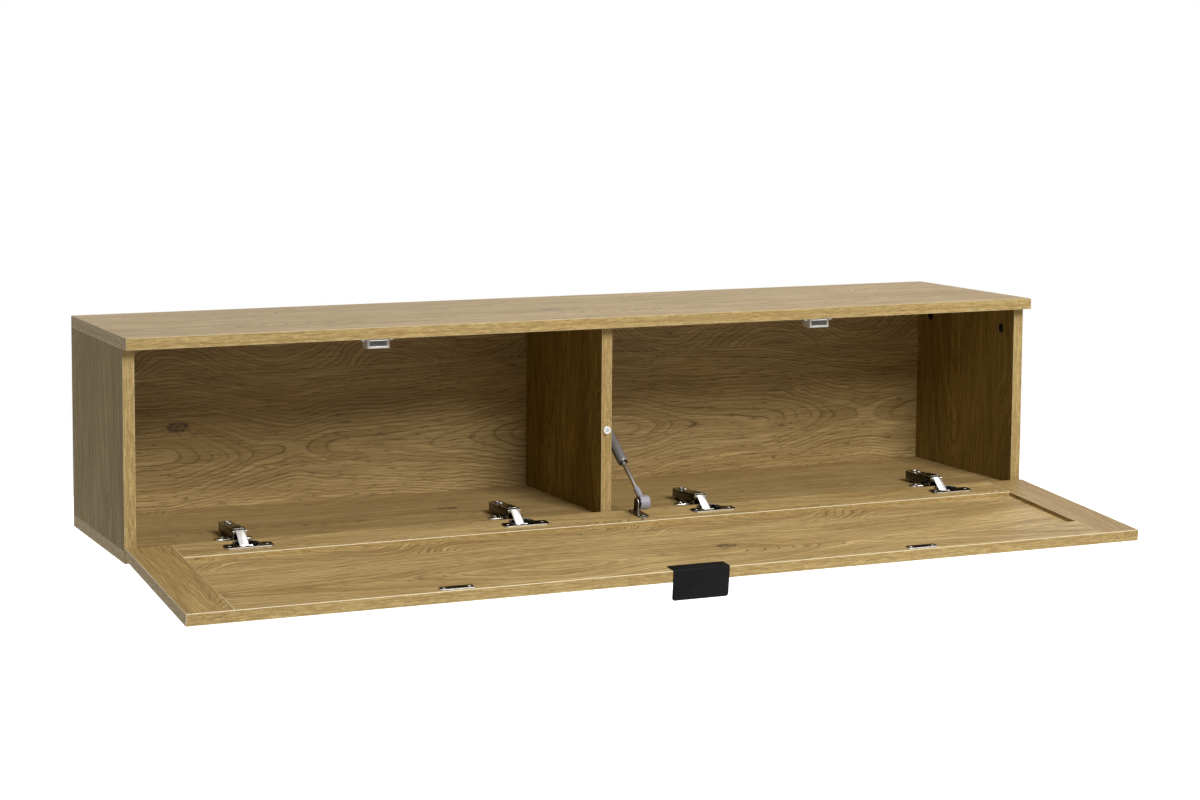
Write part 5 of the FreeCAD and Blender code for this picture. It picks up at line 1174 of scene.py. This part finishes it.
@dataclass
class Flap:
    """The drop-down flap: two stiles, two rails and a recessed panel, built lying in its own plane.

    Its own plane has the hinge edge as origin, -Y up the flap and +Z out of the inner face.
    """

    half_length: float = 700.0
    height: float = 282.0
    thick: float = 16.0
    stile: float = 62.0
    hinge_rail: float = 58.0
    handle_rail: float = 62.0
    recess: float = 6.0
    cup_radius: float = 17.5
    cup_deep: float = 11.5
    cup_centre: float = 21.0
    hinges: tuple[float, ...] = (-541.5, -141.5, 151.5, 551.5)
    edge: Point = (0.0, -286.0, -202.0)
    tilt: float = 5.5           # of the open flap, in degrees
    arris: float = 0.8

    def place(self) -> Matrix:
        """The open flap's place in the frame."""
        turn = Matrix.Rotation(math.radians(self.tilt), 4, "X")
        return Matrix.Translation(Vector(self.edge) * MM) @ turn

    def build(self) -> None:
        """Make the five boards."""
        end, inner = self.half_length, self.half_length - self.stile
        free_edge, panel_edge = -self.height, -self.height + self.handle_rail
        spans = {
            "flap_left_stile": ((-end, free_edge), (-inner, 0.0), 0.0),
            "flap_right_stile": ((inner, free_edge), (end, 0.0), 0.0),
            "flap_hinge_rail": ((-inner, -self.hinge_rail), (inner, 0.0), 0.0),
            "flap_handle_rail": ((-inner, free_edge), (inner, panel_edge), 0.0),
            "flap_centre_panel": ((-inner, panel_edge), (inner, -self.hinge_rail), -self.recess),
        }
        for node, (low, high, face) in spans.items():
            slot = "flap_panel_oak" if node == "flap_centre_panel" else "flap_oak"
            bores = self._cup_bores() if node == "flap_hinge_rail" else ()
            butted = tuple((Way.X, sign) for sign, side in ((-1, low[0]), (1, high[0]))
                           if abs(side) < end)
            Board(node, (*low, -self.thick), (*high, face), self._foil(node, low[0]), "flap",
                  slot, bores, butted=butted, trim=ARRIS_WIDE_HIGHLIGHT, arris=self.arris,
                  place=self.place()).build()

    @staticmethod
    def _foil(node: str, left: float) -> OakFoil:
        """Describe a board's foil: along a stile, or one print over the rails and the panel.

        Args:
            node: The board's node.
            left: Its left end along X.

        Returns:
            The foil.
        """
        if node.endswith("stile"):
            return OakFoil(f"oak_foil_{node}", Way.Y, Way.X, shift=(left / 2, -60.0 - left),
                           pale="#CAAC70", brown="#88693A")
        return OakFoil(f"oak_foil_{node}", Way.X, Way.Y, shift=(-647.0, 91.0), pale="#E8CB8E",
                       brown="#92733F", line_depth=0.80, tone_depth=0.80)

    def _cup_bores(self) -> tuple[Bore, ...]:
        """The bores of the four hinge cups."""
        return tuple(Bore((across, -self.cup_centre, 0.0), self.cup_radius, (0.0, 0.0, -1.0),
                          self.cup_deep) for across in self.hinges)


@dataclass
class Hinges:
    """Four concealed hinges: plates and arms on the case, straps between, cups in the flap."""

    count: int = 4
    plate_round: float = 0.6
    arm_round: float = 0.35
    strap_round: float = 0.25
    cup_round: float = 0.3
    flange: float = 1.7         # the walls of a cup's flange are lower than this; they wear the painted highlight
    screw_round: float = 0.25

    def build(self) -> None:
        """Round and dress the fittings."""
        for number in range(1, self.count + 1):
            # Plates, arms and cups wear the darkened plating, a painted shade and dark reflection;
            # their rounded edges wear a painted highlight.
            soften(f"hinge_plate_{number}", "case", NICKEL_PAINTED_DARK, self.plate_round, NICKEL_EDGE_HIGHLIGHT)
            soften(f"hinge_arm_{number}", "case", NICKEL_PAINTED_DARK, self.arm_round, NICKEL_EDGE_HIGHLIGHT)
            soften(f"hinge_strap_{number}", "hinge_links", NICKEL_BRIGHT, self.strap_round)
            soften(f"hinge_cup_{number}", "flap", NICKEL_PAINTED_DARK, self.cup_round, NICKEL_EDGE_HIGHLIGHT,
                   self.flange)
        dress("hinge_pins", NICKEL_BRIGHT)
        for node, body in (("case_hardware_screws", "case"), ("hinge_arm_screws", "case"),
                           ("flap_hardware_screws", "flap")):
            soften(node, body, NICKEL_BRIGHT, self.screw_round)


@dataclass
class Catches:
    """Two magnetic catches, their strike plates and the bumper."""

    housing_round: float = 0.4
    strike_round: float = 0.7
    small_round: float = 0.2
    screw_round: float = 0.18

    def build(self) -> None:
        """Round and dress the fittings."""
        small = self.small_round
        for side in ("left", "right"):
            soften(f"catch_housing_{side}", "case", ABS_GREY, self.housing_round)
            # Strike plates: darkened plating as painted shade, with a painted highlight on their
            # rounded edges.
            soften(f"strike_plate_{side}", "flap", NICKEL_PAINTED_DARK, self.strike_round,
                   NICKEL_EDGE_HIGHLIGHT)
        dress("catch_magnets", FERRITE)
        soften("catch_pole_plates", "case", NICKEL_BRIGHT, small)
        soften("catch_screws", "case", ZINC, self.screw_round)
        soften("strike_screws", "flap", NICKEL_BRIGHT, small)
        soften("door_bumper", "case", NYLON_WHITE, small)
        soften("bumper_screw", "case", ZINC, small)


@dataclass
class Handle:
    """The folded black tab on the flap's edge."""

    tab_round: float = 0.35
    screw_round: float = 0.3

    def build(self) -> None:
        """Round and dress the tab and its screws."""
        soften("handle_tab", "flap", POWDER_BLACK, self.tab_round)
        # The screws wear the darkened plating: painted shade.
        soften("handle_screws", "flap", NICKEL_PAINTED_DARK, self.screw_round)


@dataclass
class Strut:
    """The soft-down strut between the divider and the flap."""

    bracket_round: float = 0.4
    tube_round: float = 0.4

    def build(self) -> None:
        """Round and dress its pieces."""
        for node, body in (("strut_upper_bracket", "case"), ("strut_lower_bracket", "flap")):
            # Darkened plating as painted shade, with a painted highlight on the rounded edges.
            soften(node, body, NICKEL_PAINTED_DARK, self.bracket_round, NICKEL_EDGE_HIGHLIGHT)
        # The tube's rounded edges wear the painted highlight.
        soften("strut_tube", "strut_tube_end", TUBE_PAINT, self.tube_round,
               NICKEL_EDGE_HIGHLIGHT)
        for node, finish in (("strut_lower_socket", ACETAL), ("strut_upper_socket", ACETAL),
                             ("strut_rod", CHROME), ("strut_rod_guide", ACETAL_BLACK),
                             ("strut_piston", ACETAL_BLACK), ("strut_upper_stud", NICKEL_BRIGHT)):
            dress(node, finish)


# ---------------------------------------------------------------- the studio

@dataclass(frozen=True)
class Lamp:
    """A square soft lamp aimed at a point: places and side in metres, power in watts."""

    name: str
    at: Point
    target: Point
    side: float
    power: float
    mirrored: bool = True       # whether shiny surfaces show it

    def build(self) -> None:
        """Make the lamp, facing its target."""
        data = bpy.data.lights.new(self.name, "AREA")
        data.shape = "SQUARE"
        data.size = self.side
        data.energy = self.power
        lamp = add_object(self.name, data)
        aim = Vector(self.target) - Vector(self.at)
        turn = aim.to_track_quat("-Z", "Y").to_matrix().to_4x4()
        lamp.matrix_world = Matrix.Translation(Vector(self.at)) @ turn
        lamp.visible_glossy = self.mirrored


@dataclass
class Studio:
    """Pale floor, white surroundings, soft lamps and the camera."""

    floor_drop: float = 700.0
    floor_half: float = 2800.0
    floor_glow: float = 0.85        # brings the floor up to white in view
    world_light: float = 0.09
    camera_at: Point = (-1502.7, -3361.8, 443.4)
    yaw: float = 22.29              # to the right of straight ahead, in degrees
    pitch: float = 5.30             # down, in degrees
    roll: float = 0.05              # anticlockwise, in degrees
    lens: float = 73.335
    sensor: float = 36.0
    shift: tuple[float, float] = (0.125, -0.10)
    reach: float = 100.0            # of the camera's view, in metres
    lamps: tuple[Lamp, ...] = (
        Lamp("key_lamp", (0.72, -4.2, 2.9), (0.05, -0.2, -0.1), 1.9, 246.0),
        Lamp("top_lamp", (1.5, -0.6, 2.5), (0.3, -0.25, 0.0), 1.8, 18.0),
        Lamp("left_rim_lamp", (-3.2, 0.9, 0.9), (-0.7, -0.1, -0.05), 1.6, 5.0),
        # lights the back, without a glare along the top
        Lamp("back_lamp", (1.6, 3.0, 0.35), (0.1, 0.0, -0.05), 1.4, 40.0, mirrored=False),
    )

    def build(self) -> None:
        """Make the camera, floor, world and lamps."""
        self._camera()
        self._floor()
        self._world()
        for lamp in self.lamps:
            lamp.build()

    def _camera(self) -> None:
        """The camera, with a small shift."""
        data = bpy.data.cameras.new("camera")
        data.lens = self.lens
        data.sensor_width = self.sensor
        data.sensor_fit = "HORIZONTAL"
        data.shift_x, data.shift_y = self.shift
        data.clip_end = self.reach
        camera = add_object("camera", data)
        turn = (Matrix.Rotation(math.radians(-self.yaw), 4, "Z")
                @ Matrix.Rotation(math.radians(90 - self.pitch), 4, "X")
                @ Matrix.Rotation(math.radians(self.roll), 4, "Z"))
        camera.matrix_world = Matrix.Translation(Vector(self.camera_at) * MM) @ turn
        bpy.context.scene.camera = camera

    def _floor(self) -> None:
        """A wide matt floor below the console, white to the camera where no shadow falls."""
        mesh = bpy.data.meshes.new("floor")
        half, drop = self.floor_half * MM, -self.floor_drop * MM
        corners = [(-half, -half, drop), (half, -half, drop), (half, half, drop),
                   (-half, half, drop)]
        mesh.from_pydata(corners, [], [(0, 1, 2, 3)])
        floor = add_object("floor", mesh)
        material, tree = new_material("studio_floor_white")
        matt = add_node(tree, "ShaderNodeBsdfDiffuse", {"Color": linear("#F4F3F0")})
        glow = add_node(tree, "ShaderNodeEmission",
                        {"Color": linear("#FFFFFF"), "Strength": self.floor_glow})
        lifted = add_node(tree, "ShaderNodeAddShader", {0: matt, 1: glow})
        mixed = add_node(tree, "ShaderNodeMixShader", {0: self._in_view(tree), 1: matt, 2: lifted})
        add_node(tree, "ShaderNodeOutputMaterial", {"Surface": mixed})
        mesh.materials.append(material)

    def _world(self) -> None:
        """White to the camera and in reflections, dimmer as a light."""
        world = bpy.data.worlds.new("studio_white")
        world.use_nodes = True
        tree = world.node_tree
        tree.nodes.clear()
        soft, white = (add_node(tree, "ShaderNodeBackground",
                                {"Color": linear("#FFFFFF"), "Strength": strength})
                       for strength in (self.world_light, 1.0))
        mixed = add_node(tree, "ShaderNodeMixShader", {0: self._in_view(tree), 1: soft, 2: white})
        add_node(tree, "ShaderNodeOutputWorld", {"Surface": mixed})
        bpy.context.scene.world = world

    @staticmethod
    def _in_view(tree: Tree) -> Socket:
        """Tell looking from lighting.

        Args:
            tree: The floor's or the world's tree.

        Returns:
            1 where the eye, a reflection or clear plastic looks, 0 where light is gathered.
        """
        path = add_node(tree, "ShaderNodeLightPath")
        looks = path.outputs["Is Camera Ray"]
        for ray in ("Is Glossy Ray", "Is Transmission Ray"):
            looks = add_node(tree, "ShaderNodeMath", {0: looks, 1: path.outputs[ray]},
                             operation="MAXIMUM").outputs[0]
        return looks


def main() -> None:
    """Build the studio and the console."""
    logging.basicConfig(level=logging.INFO, format="%(name)s: %(message)s")
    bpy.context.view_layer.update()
    bpy.context.scene.view_settings.view_transform = "Standard"
    for part in (Studio(), Case(), Flap(), Hinges(), Catches(), Handle(), Strut()):
        part.build()
        LOG.info("finished the %s", type(part).__name__.lower())


if __name__ == "__main__":
    main()
